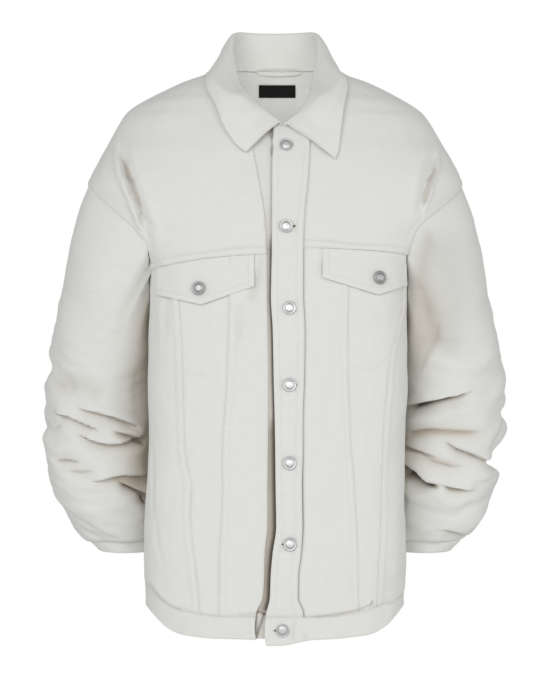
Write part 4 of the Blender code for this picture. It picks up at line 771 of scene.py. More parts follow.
def beside_line(line, across, along):
    """Share of the way along a line of points, and the distance to its upper side."""
    line = np.asarray(line, float)
    steps = np.diff(line, axis=0)
    lengths = np.linalg.norm(steps, axis=1)
    begun = lengths_along(line)
    nearest = np.full(np.shape(across), np.inf)
    share = np.zeros(np.shape(across))
    side = np.ones(np.shape(across))
    for start, step, length, past in zip(line[:-1], steps, lengths, begun):
        from_across, from_along = across - start[0], along - start[1]
        reached = np.clip((from_across * step[0] + from_along * step[1]) / length ** 2, 0, 1)
        away = np.hypot(from_across - reached * step[0], from_along - reached * step[1])
        closer = away < nearest
        nearest = np.where(closer, away, nearest)
        share = np.where(closer, (past + reached * length) / begun[-1], share)
        above = from_along * step[0] - from_across * step[1]
        side = np.where(closer, np.sign(above), side)
    return share, nearest * np.where(side == 0, 1.0, side)


def creases(table, across, along, wrap=None, edge=0.20):
    """Shape of the creases of a table.  Each row is a depth, a width, a lip and a line of points.
    With lip 0 a crease is an even trough between two soft ridges; with lip 1 the cloth above
    stays full up to the line and drops over it, and below the trough runs out slowly; edge is
    how soft that drop is.
    Returns the height, the depth of the hollow and the fullness above the line."""
    moved = np.zeros(np.shape(across))
    hollow = np.zeros(np.shape(across))
    full = np.zeros(np.shape(across))
    for depth, width, lip, line in table:
        for turn in (0.0,) if wrap is None else (-wrap, 0.0, wrap):
            share, aside = beside_line(line, across + turn, along)
            fade = ease(share / 0.30) * ease((1 - share) / 0.30)
            at = aside / (width * (0.65 + 0.35 * fade))
            soft = 0.40 * bell(np.abs(at) - 1.8, 1.1) - bell(at)
            upper = 0.5 + 0.5 * np.tanh(at / edge)
            below = 0.30 * bell(at + 3.0, 1.1) - np.exp(-(np.abs(at) / 1.35) ** 1.4)
            above = 0.60 * bell(at - 0.45, 1.25)
            sharp = upper * above + (1 - upper) * below
            moved += depth * fade * (lip * sharp + (1 - lip) * soft)
            under = (1 - upper) * np.exp(-(np.abs(at) / 0.95) ** 1.5)
            hollow += depth * fade * (lip * under + (1 - lip) * 0.7 * bell(at))
            full += depth * fade * lip * upper * bell(at - 0.2, 0.9)
    return moved, hollow, full


def painted(table, across, along, wrap=None):
    """Painted shade: warmth and darkness drawn along lines.  Each row is a darkness, a warmth, the
    half width at the start, the middle and the end, and a line of points.  Across the line the
    strength is exp(-(distance / half width) ** 2)."""
    tan = np.zeros(np.shape(across))
    dark = np.zeros(np.shape(across))
    for darkness, warmth, widths, line in table:
        for turn in (0.0,) if wrap is None else (-wrap, 0.0, wrap):
            share, aside = beside_line(line, across + turn, along)
            width = np.interp(share, (0.0, 0.5, 1.0), widths)
            fade = ease(share / 0.24) * ease((1 - share) / 0.10)
            strength = fade * bell(aside, width)
            tan += warmth * strength
            dark += darkness * strength
    return tan, dark


def table_on_body(table, rear):
    """Rows with a line given as x and height, turned into metres round the body and height."""
    rows = []
    for *settings, line in table:
        angles = body_angle(line[:, 0], line[:, 1], rear=rear)
        angles = angles % (2 * math.pi) if rear else angles
        rows.append((*settings, np.stack([angles * BODY_RADIUS, line[:, 1]], -1)))
    return rows


def body_relief(angle, height):
    """Creases and unevenness of the body, in metres outward, and the depth of its hollows."""
    ahead = wrapped(angle) * BODY_RADIUS
    behind = (angle % (2 * math.pi)) * BODY_RADIUS
    moved, hollow, _ = creases(table_on_body(FRONT_CREASES, False), ahead, height, edge=0.42)
    rear, rear_hollow, _ = creases(table_on_body(BACK_CREASES, True), behind, height, edge=0.42)
    across = np.sin(angle) * 0.2
    uneven = wander(across, height + np.cos(angle) * 0.1, 0.080, 3)
    uneven = uneven + 0.35 * wander(across, height * 0.7 + np.cos(angle) * 0.1, 0.026, 4)
    return moved + rear + BODY_UNEVEN * uneven, hollow + rear_hollow


def pucker(at, seed):
    """Uneven ripple along a seam, from its place along the seam in metres."""
    slow = np.sin(2 * math.pi * at / 0.061 + seed) + 0.6 * np.sin(2 * math.pi * at / 0.037 + 2 * seed)
    return np.sin(2 * math.pi * at / PUCKER_PITCH + 1.8 * slow) * (0.55 + 0.3 * slow)


def band_relief(kind, away, at, seed):
    """Relief beside an edge, from the distance to it and the place along it.

    over, yoke: a felled band that lies on its neighbour, two needle lines pressed into it.
    under, deep: the neighbour, dipping a little or more where the band covers it.
    hem: a turned edge with one needle line.  rim: a faced edge with a needle line further in.
    full: cloth that swells and puckers over the seam it is gathered into.
    """
    ripple = PUCKER * pucker(at, seed)
    roll = -ROLL * (1 - ease(away / ROLL_WIDTH)) ** 2
    near_needle = bell(away - NEEDLE_EDGE, NEEDLE_WIDTH)
    far_needle = bell(away - NEEDLE_FAR, NEEDLE_WIDTH)
    if kind in ("over", "yoke"):
        rise = BAND_RISE * (1 - ease((away - NEEDLE_FAR - 0.0004) / 0.0022))
        spread = bell(away - NEEDLE_FAR, 0.0065)
        return rise + roll - GROOVE * (near_needle + far_needle) + ripple * spread
    if kind in ("under", "deep"):
        dip = UNDER_DIP if kind == "under" else 4 * UNDER_DIP
        return -dip * bell(away, 0.0026) + ripple * bell(away, 0.010)
    if kind == "hem":
        rise = 0.5 * BAND_RISE * (1 - ease((away - NEEDLE_EDGE) / 0.0020))
        return rise + roll - GROOVE * near_needle + 0.7 * ripple * bell(away, 0.006)
    if kind == "rim":
        rise = 0.7 * BAND_RISE * (1 - ease((away - NEEDLE_FAR) / 0.0024))
        return rise + roll - GROOVE * far_needle + 0.5 * ripple * bell(away, 0.009)
    if kind == "full":
        swell = bell(away - 0.0085, 0.0060) - 0.9 * bell(away, 0.0024)
        return 0.0007 * swell + 1.8 * ripple * bell(away - 0.004, 0.0075)
    return np.zeros(np.shape(away))


def patchy(at, seed):
    """Uneven strength along a seam, about 0.45 to 1.15."""
    return 0.80 + 0.35 * np.sin(2 * math.pi * at / 0.113 + 2.7 * seed) * np.sin(
        2 * math.pi * at / 0.047 + 1.9 * seed)


def band_tan(kind, away):
    """How warm the cloth is painted beside an edge, 0 to 1: partly worn colour, partly painted shade
    beside the seam.
    """
    share, spread = EDGE_WEAR_AND_SHADE.get(kind, (0.0, 1.0))
    return share * bell(away, spread)


def band_line(kind, away):
    """How dark the cloth is painted in the seam and along the needle lines, 0 to 1, as their shade.
    """
    dark = 0 * away
    for strength, place, width in DARK_LINES.get(kind, ()):
        dark = dark + strength * bell(away - place, width)
    return dark


def gap_strength(height):
    """The painted shadow line beside the placket is faint near the neck, full at the waist, then
    fainter.
    """
    return 0.22 + 0.30 * ease((-0.20 - height) / 0.06) + 0.42 * ease(
        (-0.47 - height) / 0.08) - 0.34 * ease((-0.58 - height) / 0.06)


def border_layers(kinds, away, along, seeds):
    """Relief, and the painted warmth and darkness (worn colour and painted shade), that the borders
    of a piece add to it.
    """
    moved = tan = dark = 0.0
    for kind, beside, at, seed in zip(kinds, away, along, seeds):
        strength = gap_strength(at) if kind == "deep" else patchy(at, seed)
        moved = moved + band_relief(kind, beside, at, seed)
        tan = tan + band_tan(kind, beside)
        dark = dark + band_line(kind, beside) * strength
    return moved, tan, dark


# ---------------------------------------------------------------- grids and meshes

def stations(lengths, count):
    """Distances along lines of the given lengths: the needle lines' near both ends, then even."""
    lengths = np.asarray(lengths, float)[:, None]
    near = EDGE_LINES * np.minimum(1.0, 0.4 * lengths / EDGE_LINES[-1])
    share = np.linspace(0, 1, count + 1)[1:-1]
    middle = near[:, -1:] + share * (lengths - 2 * near[:, -1:])
    return np.concatenate([near, middle, lengths - near[:, ::-1]], axis=1)


def fill(borders, across, down):
    """Coons patch: blend the side borders across and the end borders down, less the corners."""
    left, right, top, bottom = borders
    across, down = across[..., None], down[..., None]
    sides = (1 - across) * left(down[..., 0]) + across * right(down[..., 0])
    ends = (1 - down) * top(across[..., 0]) + down * bottom(across[..., 0])
    corners = (1 - down) * ((1 - across) * top(0.0) + across * top(1.0))
    corners = corners + down * ((1 - across) * bottom(0.0) + across * bottom(1.0))
    return sides + ends - corners


def panel_grid(surface, step, drop=None):
    """Shares across and down a panel, and its distances to the four borders in metres; step
    is the spacing of its columns and drop that of its rows."""
    rough = np.linspace(0, 1, 33)
    across, down = np.meshgrid(rough, rough)
    points = surface(across, down)
    widths = np.linalg.norm(np.diff(points, axis=1), axis=-1).sum(axis=1)
    heights = np.linalg.norm(np.diff(points, axis=0), axis=-1).sum(axis=0)
    columns, rows = [max(2, math.ceil((float(size.max()) - 2 * EDGE_LINES[-1]) / space))
                     for size, space in ((widths, step), (heights, drop or step))]
    level = stations(heights.max()[None], rows)[0] / heights.max()
    width = np.interp(level, rough, widths)[:, None]
    from_left = stations(width[:, 0], columns)
    across = from_left / width
    height = np.interp(across.mean(axis=0), rough, heights)[None]
    from_top = stations(height[0], rows).T
    return across, from_top / height, (from_left, width - from_left, from_top, height - from_top)


def grid_faces(rows, columns, ring):
    number = np.arange(rows * columns).reshape(rows, columns)
    number = closed(number) if ring else number
    return number, np.stack([number[:-1, :-1], number[1:, :-1], number[1:, 1:], number[:-1, 1:]],
                            -1).reshape(-1, 4)


def quads_of(number):
    """The quads of a grid of vertex numbers, wound the other way round."""
    return np.stack([number[:-1, :-1], number[:-1, 1:], number[1:, 1:], number[1:, :-1]],
                    -1).reshape(-1, 4)


def closed(number):
    """A grid whose first column is repeated after its last one."""
    return np.concatenate([number, number[:, :1]], axis=1)


def put(name, data):
    """A new object at the origin of the scene."""
    item = bpy.data.objects.new(name, data)
    bpy.context.collection.objects.link(item)
    return item


def show_mesh(mesh, name, material, layers, crisp):
    """An object for a mesh, with point attributes and edges sharp above an angle."""
    for key, values in layers.items():
        attribute = mesh.attributes.new(key, "FLOAT", "POINT")
        attribute.data.foreach_set("value", np.ascontiguousarray(values, np.float32).ravel())
    mesh.validate()
    mesh.materials.append(material)
    mesh.shade_smooth()
    mesh.set_sharp_from_angle(angle=math.radians(crisp))
    return put(name, mesh)


def ride(item, node=None):
    """Every piece rides on the one body; with a node, it stands for that solid."""
    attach(item, "root")
    if node:
        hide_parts(node)


def new_mesh(name, vertices, faces, material, layers=None, uv=None):
    """A mesh object with point attributes and a UV map in metres of cloth."""
    mesh = bpy.data.meshes.new(name)
    mesh.vertices.add(len(vertices))
    mesh.vertices.foreach_set("co", np.ascontiguousarray(vertices, np.float32).ravel())
    sides = faces.shape[1]
    mesh.loops.add(faces.size)
    mesh.loops.foreach_set("vertex_index", faces.astype(np.int32).ravel())
    mesh.polygons.add(len(faces))
    mesh.polygons.foreach_set("loop_start", np.arange(0, faces.size, sides, dtype=np.int32))
    mesh.polygons.foreach_set("loop_total", np.full(len(faces), sides, np.int32))
    mesh.update(calc_edges=True)
    if uv is not None:
        layer = mesh.uv_layers.new(name="cloth")
        layer.data.foreach_set("uv", np.ascontiguousarray(uv[faces.ravel()], np.float32).ravel())
    return show_mesh(mesh, name, material, layers or {}, CLOTH_CRISP)


def cloth_wall(name, outer, normals, uv, wear_and_shade, material, thickness=CLOTH, ring=False):
    """Close a grid of outer points with an inner grid one thickness behind it; wear_and_shade holds
    how warm and how dark each point is painted, as worn colour and painted shade."""
    rows, columns = outer.shape[:2]
    inner = outer - thickness * normals
    vertices = np.concatenate([outer.reshape(-1, 3), inner.reshape(-1, 3)])
    number, faces = grid_faces(rows, columns, ring)
    far = number + rows * columns

    def strip(first, second):
        return np.stack([first[:-1], second[:-1], second[1:], first[1:]], -1)

    blocks = [faces, faces[:, ::-1] + rows * columns, strip(far[0], number[0]),
              strip(number[-1], far[-1])]
    if not ring:
        blocks += [strip(number[:, 0], far[:, 0]), strip(far[:, -1], number[:, -1])]
    faces = np.concatenate(blocks)
    corners = vertices[faces]
    volume = np.sum(corners[:, 0] * np.cross(corners[:, 1], corners[:, 2]))
    volume += np.sum(corners[:, 0] * np.cross(corners[:, 2], corners[:, 3]))
    if volume < 0:
        faces = faces[:, ::-1]
    # inside marks the inner faces, which the material paints lighter as painted light
    layers = {"inside": np.repeat([0.0, 1.0], rows * columns)}
    for key, values in zip(("tan", "line"), wear_and_shade):
        layers[key] = np.tile(np.clip(values, 0, 1).ravel(), 2)
    uv = np.concatenate([uv.reshape(-1, 2)] * 2)
    return new_mesh(name, vertices, faces, material, layers, uv)


def cut_of(points):
    """Width, length and area of a grid of points laid flat."""
    across = np.linalg.norm(np.diff(points, axis=1), axis=-1)
    down = np.linalg.norm(np.diff(points, axis=0), axis=-1)
    first = np.cross(points[1:, :-1] - points[:-1, :-1], points[:-1, 1:] - points[:-1, :-1])
    second = np.cross(points[:-1, 1:] - points[1:, 1:], points[1:, :-1] - points[1:, 1:])
    area = (np.linalg.norm(first, axis=-1).sum() + np.linalg.norm(second, axis=-1).sum()) / 2
    return float(across.sum(axis=1).max()), float(down.sum(axis=0).max()), float(area)


def finish_cloth(item, node, flat_points):
    """Every cloth piece rides on the one body, stands for its node and states its cut."""
    width, length, area = cut_of(flat_points)
    ride(item, node)
    CUTS.append((node, round(width, 3), round(length, 3), round(area, 4)))


def laid_out(borders, step):
    """A grid between four borders on the body: its points, their angles and heights, the share
    down it and the distances to its borders."""
    def place(across, down):
        return np.moveaxis(fill(borders, across, down), -1, 0)

    across, down, away = panel_grid(lambda *shares: body_point(*place(*shares)), step)
    angle, height = place(across, down)
    return body_point(angle, height), angle, height, down, away


def cut_piece(node, outer, normals, uv, wear_and_shade, flat_points,
              thickness=CLOTH, ring=False):
    """One cut piece of denim as a closed wall, with its cut stated."""
    item = cloth_wall(node + "_cloth", outer, normals, uv, wear_and_shade, DENIM, thickness, ring)
    finish_cloth(item, node, flat_points)


def panel(node, borders, kinds, lift=None, step=STEP, seeds=(1, 2, 3, 4), extra=None):
    """A piece of the body between four borders, with its bands, creases and stitches."""
    base, angle, height, _, away = laid_out(borders, step)
    normals = body_normal(angle, height)
    moved, hollow = body_relief(angle, height)
    along = (height, height, angle * BODY_RADIUS, angle * BODY_RADIUS)
    ahead = wrapped(angle) * BODY_RADIUS
    # painted shade along the front's creases and in their hollows
    tan, dark = painted(table_on_body(SHADE_FRONT, False), ahead, height)
    tan = tan + 0.15 * hollow / CREASE_FULL
    dark = dark + 0.10 * ease((hollow - 0.0020) / 0.0060)
    more, warm, shade = border_layers(kinds, away, along, seeds)
    moved, tan, dark = moved + more, tan + warm, dark + shade
    if lift is not None:
        moved = moved + lift(base[..., 0])
    if extra is not None:
        more, warm, shade = extra(base, away)
        moved, tan, dark = moved + more, tan + warm, dark + shade
    outer = base + moved[..., None] * normals
    uv = np.stack([angle * BODY_RADIUS, height], -1)
    cut_piece(node, outer, normals, uv, (tan, dark), base)
    collect_needles(outer, normals, kinds)


def collect_needles(outer, normals, kinds, sides="lrtb"):
    """Keep the grid lines that lie on needle lines, for the stitches."""
    near, far = EDGE_LINES.tolist().index(NEEDLE_EDGE), EDGE_LINES.tolist().index(NEEDLE_FAR)
    lines = {"over": (near, far), "yoke": (near, far), "hem": (near,), "rim": (far,)}
    for side, kind, letter in zip(range(4), kinds, "lrtb"):
        if letter not in sides:
            continue
        for line in lines.get(kind, ()):
            index = (line, -1 - line)[side % 2]
            if side < 2:
                NEEDLES.append((outer[near:-near, index], normals[near:-near, index]))
            else:
                NEEDLES.append((outer[index, near:-near], normals[index, near:-near]))


# ---------------------------------------------------------------- body panels

def over_flap(side):
    """The yoke's band stands higher where a flap is sewn in under it."""
    left, right = (FLAP_RIGHT if side < 0 else FLAP_LEFT)[:2]

    def lifted(base, away):
        x = base[..., 0]
        held = ease((x - left + 0.004) / 0.006) * ease((right + 0.004 - x) / 0.006)
        return FLAP_SEAT * held * (1 - ease((away[3] - 0.004) / 0.012)), 0.0, 0.0

    return lifted


def pocket_bag(side):
    """The edge of the pocket's bag shows through the panel as a soft step, with a warm line of
    painted shade along it.
    """
    line = POCKET_BAG_RIGHT if side < 0 else POCKET_BAG_LEFT

    def shown(base, away):
        low = column_at(line, base[..., 0], 1)
        within = ease((base[..., 0] - line[0, 0]) / 0.01) * ease((line[-1, 0] - base[..., 0]) / 0.01)
        above = base[..., 2] - low
        step = 0.00060 * (np.tanh(above / 0.0016) - 0.6) * bell(above, 0.020)
        # a soft step, and a warm line of painted shade along it
        return step * within, 0.10 * bell(above, 0.0025) * within, 0.0

    return shown


def build_front(side, word):
    front = Front(side)
    lift = overlap_lift if side > 0 else None
    middle_kind = "deep" if side > 0 else "hem"
    top = joined(front.neckline, front.shoulder)
    bottom = joined(front.yoke_middle, front.yoke_pocket, front.yoke_side)
    panel(f"yoke_front_{word}", (front.neck_edge, front.armhole, top, bottom),
          (middle_kind, "yoke", "under", "yoke"), lift, step=YOKE_STEP,
          seeds=(1, 2, 3, 4), extra=over_flap(side))
    hems = [hem_line(line.points[-1, 0], beyond.points[-1, 0], 1) for line, beyond in
            ((front.middle, front.inner), (front.inner, front.outer),
             (front.outer, front.side_seam))]
    panel(f"front_center_{word}", (front.middle, front.inner, front.yoke_middle, hems[0]),
          (middle_kind, "over", "under", "full"), lift, seeds=(1, 5, 4, 6))
    panel(f"front_pocket_{word}", (front.inner, front.outer, front.yoke_pocket, hems[1]),
          ("under", "under", "under", "full"), lift, seeds=(5, 7, 4, 6),
          extra=pocket_bag(side))
    side_top = joined(front.yoke_side, front.under_front.back())
    panel(f"front_side_{word}", (front.outer, front.side_seam, side_top, hems[2]),
          ("over", "over", "under", "full"), lift, seeds=(7, 8, 4, 6))
    return front, joined(*hems)


def turned(line):
    """A line of the right half of the back, counted on past the middle of the back."""
    return Line(line.points + np.array([2 * math.pi, 0.0]))


def build_back(right, left):
    half = rounded_line(NECK_BACK, FINE)
    neck = front_line(half[:, 0], half[:, 1], rear=True)
    left_neck = Line(neck)
    right_neck = Line(neck * np.array([-1.0, 1.0]) + np.array([2 * math.pi, 0.0]))
    top = joined(left.shoulder.back(), left_neck.back(), right_neck, turned(right.shoulder))
    right_armhole = turned(right.back_armhole)
    angles = np.linspace(left.back_armhole.points[-1, 0], right_armhole.points[-1, 0], FINE)
    yoke_line = Line(np.stack([angles, np.full(FINE, BACK_YOKE_HEIGHT)], -1))
    panel("back_yoke", (left.back_armhole, right_armhole, top, yoke_line),
          ("over", "over", "plain", "over"), step=BACK_STEP, seeds=(2, 2, 3, 9))
    top = joined(left.under_back, yoke_line, turned(right.under_back).back())
    right_seam = turned(right.side_seam)
    bottom = hem_line(left.side_seam.points[-1, 0], right_seam.points[-1, 0], 1)
    panel("back_panel", (left.side_seam, right_seam, top, bottom),
          ("under", "under", "under", "full"), step=BACK_STEP, seeds=(8, 8, 9, 6))
    return bottom


def build_plackets():
    """The right placket lies behind, and the left one on top carries the buttons."""
    tops = (UNDER_HEIGHTS[0], UNDER_LOW)
    left_edge = edge_line(lambda height: placket_x(1, height) - UNDER_TUCK, *tops)
    right_edge = edge_line(lambda height: np.full(np.shape(height), UNDER_REACH), *tops)
    ends = [level_line(float(placket_x(1, height)) - UNDER_TUCK, UNDER_REACH,
                       lambda x, height=height: np.full(np.shape(x), height)) for height in tops]
    panel("placket_right", (left_edge, right_edge, *ends), ("plain",) * 4,
          lambda x: np.full(x.shape, -UNDER_DROP), step=UNDER_STEP, extra=behind_gap)
    corner_x = float(placket_x(3, NECK_LEVEL))
    start = float(placket_x(2, float(neck_front(0.0))))
    edges = [edge_line(partial(placket_x, column), float(neck_front(x)),
                       meet_hem(partial(placket_x, column), 1))
             for column, x in ((2, 0.0), (3, corner_x))]
    top = level_line(start, corner_x, neck_front)
    bottom = hem_line(edges[0].points[-1, 0], edges[1].points[-1, 0], 1)
    panel("placket_left", (edges[0], edges[1], top, bottom), ("rim", "over", "under", "full"),
          overlap_lift, step=PLACKET_STEP, seeds=(10, 1, 3, 6),
          extra=button_pulls)
    return bottom


def behind_gap(base, away):
    """The placket behind shows beside the top one: painted shade in the fold against it, a lit warm
    strip painted further out, deeper painted shade where the gap is wide, and painted crease shade at
    its lower end."""
    x, height = base[..., 0], base[..., 2]
    beside = placket_x(2, height) - x
    low = ease((GAP_TOP - height) / 0.030)
    wide = ease((GAP_WIDE - height) / 0.030)
    tail = ease((GAP_TAIL - height) / 0.005)
    fold = bell(beside, 0.0022 + 0.0026 * wide)
    # painted shade in the fold against the top placket, deeper where the gap is wide
    dark = low * (0.80 * fold + 0.14 * wide) + 0.26 * bell(beside, 0.0012)
    streaks = 0 * x
    for line in TAIL_SHADE_LINES:
        _, aside = beside_line(line, x, height)
        streaks = streaks + bell(aside, 0.0016)
    dark = dark * (1 - tail) + 0.80 * streaks * tail
    tan = (0.50 * low + 0.40 * wide) * (1 - 0.6 * tail)
    return -GAP_DEPTH * low * fold * (1 - tail), tan, dark


def button_pulls(base, away):
    """The placket dimples round each buttonhole and pulls a little toward it."""
    moved = np.zeros(base.shape[:2])
    for x, height in FRONT_BUTTONS:
        reach = np.hypot(base[..., 0] - x, base[..., 2] - height)
        turn = np.arctan2(base[..., 2] - height, base[..., 0] - x)
        moved -= 0.0007 * bell(reach, 0.012)
        moved += 0.00022 * np.sin(5 * turn + 40 * height) * bell(reach - 0.015, 0.006)
    return moved, 0.0, 0.0


def band(node, top, end_x=None, lift=None):
    """A length of the hem band under its seam; end_x gives the edge of its end in front."""
    angles = top.points[:, 0]
    lows = hem_height(angles, 2)
    if lift is not None:
        reach = body_point(angles, top.points[:, 1])[:, 0]
        lows = lows - TAB_DROP * (1 - ease((reach - TAB_START) / TAB_SPAN))
    bottom = np.stack([angles, lows], -1)
    shares = np.linspace(0, 1, 40)[:, None]
    first = top.points[0] + shares * (bottom[0] - top.points[0])
    last = top.points[-1] + shares * (bottom[-1] - top.points[-1])
    if end_x is not None:
        first[1:] = front_line(end_x(first[1:, 1]), first[1:, 1])
        bottom[0] = first[-1]
    kinds = ("rim" if end_x is not None else "under", "under", "band", "hem")
    panel(node, (Line(first), Line(last), top, Line(bottom)), kinds, lift,
          seeds=(1, 8, 6, 11))


def build_hem(right_top, left_top, tab, back):
    band("hem_band_right", right_top, partial(placket_x, 1))
    band("hem_band_left", joined(tab, left_top), partial(placket_x, 2),
         overlap_lift)
    band("hem_band_back", back)


# ---------------------------------------------------------------- sleeves

def sleeve_section(side, station, around):
    """Points of a sleeve section; around is in radians, 0 at the outline and 90 in front."""
    rows = np.arange(len(SLEEVE))
    outer_x, outer_z, inner_x, inner_z, centre_y, depth, square = [
        smooth(station, rows, SLEEVE[:, column]) for column in range(7)]
    shift = column_at(BODY, inner_z, 2)
    outer = np.stack([side * outer_x, centre_y, outer_z], -1)
    inner = np.stack([side * inner_x + shift, centre_y, inner_z], -1)
    centre = (outer + inner) / 2
    reach = (np.cos(around) - square * np.cos(3 * around)) / (1 - square)
    ahead = (np.sin(around) + square * np.sin(3 * around)) / (1 - square)
    points = centre + reach[..., None] * (outer - centre)
    points[..., 1] -= depth * ahead
    return points


def around_rows(rows):
    """Lines given in degrees round a sleeve, as metres round it."""
    return [(*row[:3], row[3] * (math.radians(1) * ARM_RADIUS, 1.0)) for row in rows]


class Sleeve:
    """A sleeve as a surface of (turn, station).  Turn 0 to 4 runs once round the armhole, from
    the shoulder over the front yoke's corner (1), the side seam (2) and the back yoke's corner
    (3); station is a row of the table SLEEVE."""

    def __init__(self, side, front):
        self.side = side
        self.folds, self.shades, self.pressed, self.patches = (
            (FOLDS_RIGHT, SHADE_RIGHT, PRESSED_RIGHT, PATCHES_RIGHT),
            (FOLDS_LEFT, SHADE_LEFT, PRESSED_LEFT, PATCHES_LEFT))[side > 0]
        ring = [front.armhole, front.under_front.back(), front.under_back,
                front.back_armhole.back()]
        share = np.linspace(0, 1, FINE)
        place = np.concatenate([line(share)[:-1] for line in ring] + [ring[0](share[:1])])
        self.turns = np.linspace(0, 4, len(place))
        seam = body_point(place[:, 0], place[:, 1])
        self.body_normals = body_normal(place[:, 0], place[:, 1])
        if side > 0:
            lifted = overlap_lift(seam[:, 0]) * (np.cos(place[:, 0]) > 0)
            seam = seam + lifted[:, None] * self.body_normals
        ends = sleeve_section(side, np.zeros(2), np.array([0.0, math.pi]))
        centre = ends.mean(axis=0)
        axis = ends[0] - centre
        reach = (seam - centre) @ axis / np.sum(axis ** 2)
        ahead = -(seam[:, 1] - centre[1]) / SLEEVE[0, 5]
        around = np.unwrap(np.arctan2(ahead, reach))
        self.around = around - 2 * math.pi * round(around[0] / (2 * math.pi))
        self.span = self.around[-1] - self.around[0]
        self.off = seam - sleeve_section(side, 0 * self.around, self.around)

    def along_ring(self, values, turn):
        return read_off(turn % 4, self.turns, values)

    def angle(self, turn):
        whole = np.floor(turn / 4)
        return np.interp(turn - 4 * whole, self.turns, self.around) + whole * self.span

    def skin(self, turn, station):
        points = sleeve_section(self.side, station, self.angle(turn))
        return points + (1 - ease(station / 3.5))[..., None] * self.along_ring(self.off, turn)

    def folded(self, turn, station):
        """Points of the creased sleeve and the depth of its hollows."""
        base = self.skin(turn, station)
        normals = self.facing(self.skin, turn, station)
        around = self.angle(turn)
        across = around * ARM_RADIUS
        height = base[..., 2]
        moved, hollow, full = creases(around_rows(self.folds), across, height, ARM_ROUND)
        quiet = ease(station / 2.0) * (1 - 0.75 * ease((station - 11.4) / 1.4))
        clear = 1 - 0.85 * bell(np.degrees(around) % 360 - 180.0, 22.0)
        held = quiet * clear
        round_arm = np.stack([np.cos(around), np.sin(around)], -1) * ARM_RADIUS
        loose = ease((station - 1.0) / 4.0)
        slow = wander(round_arm[..., 0] + 0.4 * height, height * 1.6 + round_arm[..., 1],
                      0.085, 21 + self.side)
        fine = wander(round_arm[..., 0] * 0.6 + height * 0.2, height * 2.2 + round_arm[..., 1],
                      0.034, 31 + self.side)
        uneven = SLEEVE_UNEVEN * (0.4 + 1.1 * loose) * (slow + 0.40 * fine)
        moved = held * moved + quiet * uneven * (0.3 + 0.7 * clear)
        turned = wrapped(np.degrees(around), 360)
        for depth, degrees, reach, level, above, below in self.pressed:
            off = height - level
            off = off / np.where(off > 0, above, below)
            moved = moved - depth * np.exp(-((turned - degrees) / reach) ** 4 - off ** 2)
        points = base + moved[..., None] * normals
        points[..., 2] -= SAG * held * full
        return points, held * hollow

    def facing(self, surface, turn, station):
        """Outward normals of a surface of (turn, station), by finite differences."""
        def at(turn, station):
            found = surface(turn, np.clip(station, 0, len(SLEEVE) - 1))
            return found[0] if isinstance(found, tuple) else found

        beside = at(turn + 0.006, station) - at(turn - 0.006, station)
        down = at(turn, station + 0.03) - at(turn, station - 0.03)
        normals = unit(np.cross(down, beside))
        around = self.angle(turn)
        outward = np.stack([self.side * np.cos(around), -np.sin(around), 0 * around], -1)
        return normals if np.mean(np.sum(normals * outward, axis=-1)) > 0 else -normals

    def part(self, node, first, last, kinds, rests_on, seeds, coarser=1.0):
        """One cut piece of the sleeve, between two turns."""
        def surface(across, down):
            return self.skin(first + across * (last - first), down * (len(SLEEVE) - 1))

        across, down, away = panel_grid(surface, SLEEVE_STEP * coarser, SLEEVE_DROP * coarser)
        turn = first + across * (last - first)
        station = down * (len(SLEEVE) - 1)
        points, hollow = self.folded(turn, station)
        normals = self.facing(self.folded, turn, station)
        body = self.along_ring(self.body_normals, turn)
        flush = ease((np.sum(normals[:1] * body[:1], axis=-1) + 0.1) / 0.6)
        share = (1 - flush * (1 - ease(station / 1.5)))[..., None]
        normals = unit(share * normals + (1 - share) * body)
        apart = CREASE_GAP * (1 - flush) * (1 - ease(station / 2.0))
        around = self.angle(turn)
        height = self.skin(turn, station)[..., 2]
        # painted shade: along the folds, in their hollows, on the inner side beside the body, and in
        # patches
        tan, dark = painted(around_rows(self.shades), around * ARM_RADIUS, height, ARM_ROUND)
        tan = tan + 0.50 * hollow / CREASE_FULL
        dark = dark + 0.28 * ease((hollow - 0.0025) / 0.0090)
        along = (height, height, around * ARM_RADIUS, around * ARM_RADIUS)
        moved, warm, shade = border_layers(kinds, away, along, seeds)
        tan, dark = tan + warm, dark + shade
        inner = bell(np.degrees(around) % 360 - 162.0, 34.0)
        zones = 0.55 + 0.75 * ease((height + 0.40) / 0.08)
        zones = zones + 0.55 * bell(height + 0.515, 0.045)
        tan = tan + INNER_TAN[self.side > 0] * inner * zones
        dark = dark + INNER_DARK[self.side > 0] * inner
        turned = np.degrees(around) % 360
        for share, degrees, reach, level, spread in self.patches:
            tan = tan + share * np.exp(-((turned - degrees) / reach) ** 2
                                       - ((height - level) / spread) ** 2)
        outer = points + apart[..., None] * body + moved[..., None] * normals
        uv = np.stack([around * ARM_RADIUS, height], -1)
        cut_piece(node, outer, normals, uv, (tan, dark), self.skin(turn, station))
        collect_needles(outer, normals, kinds, "lr")

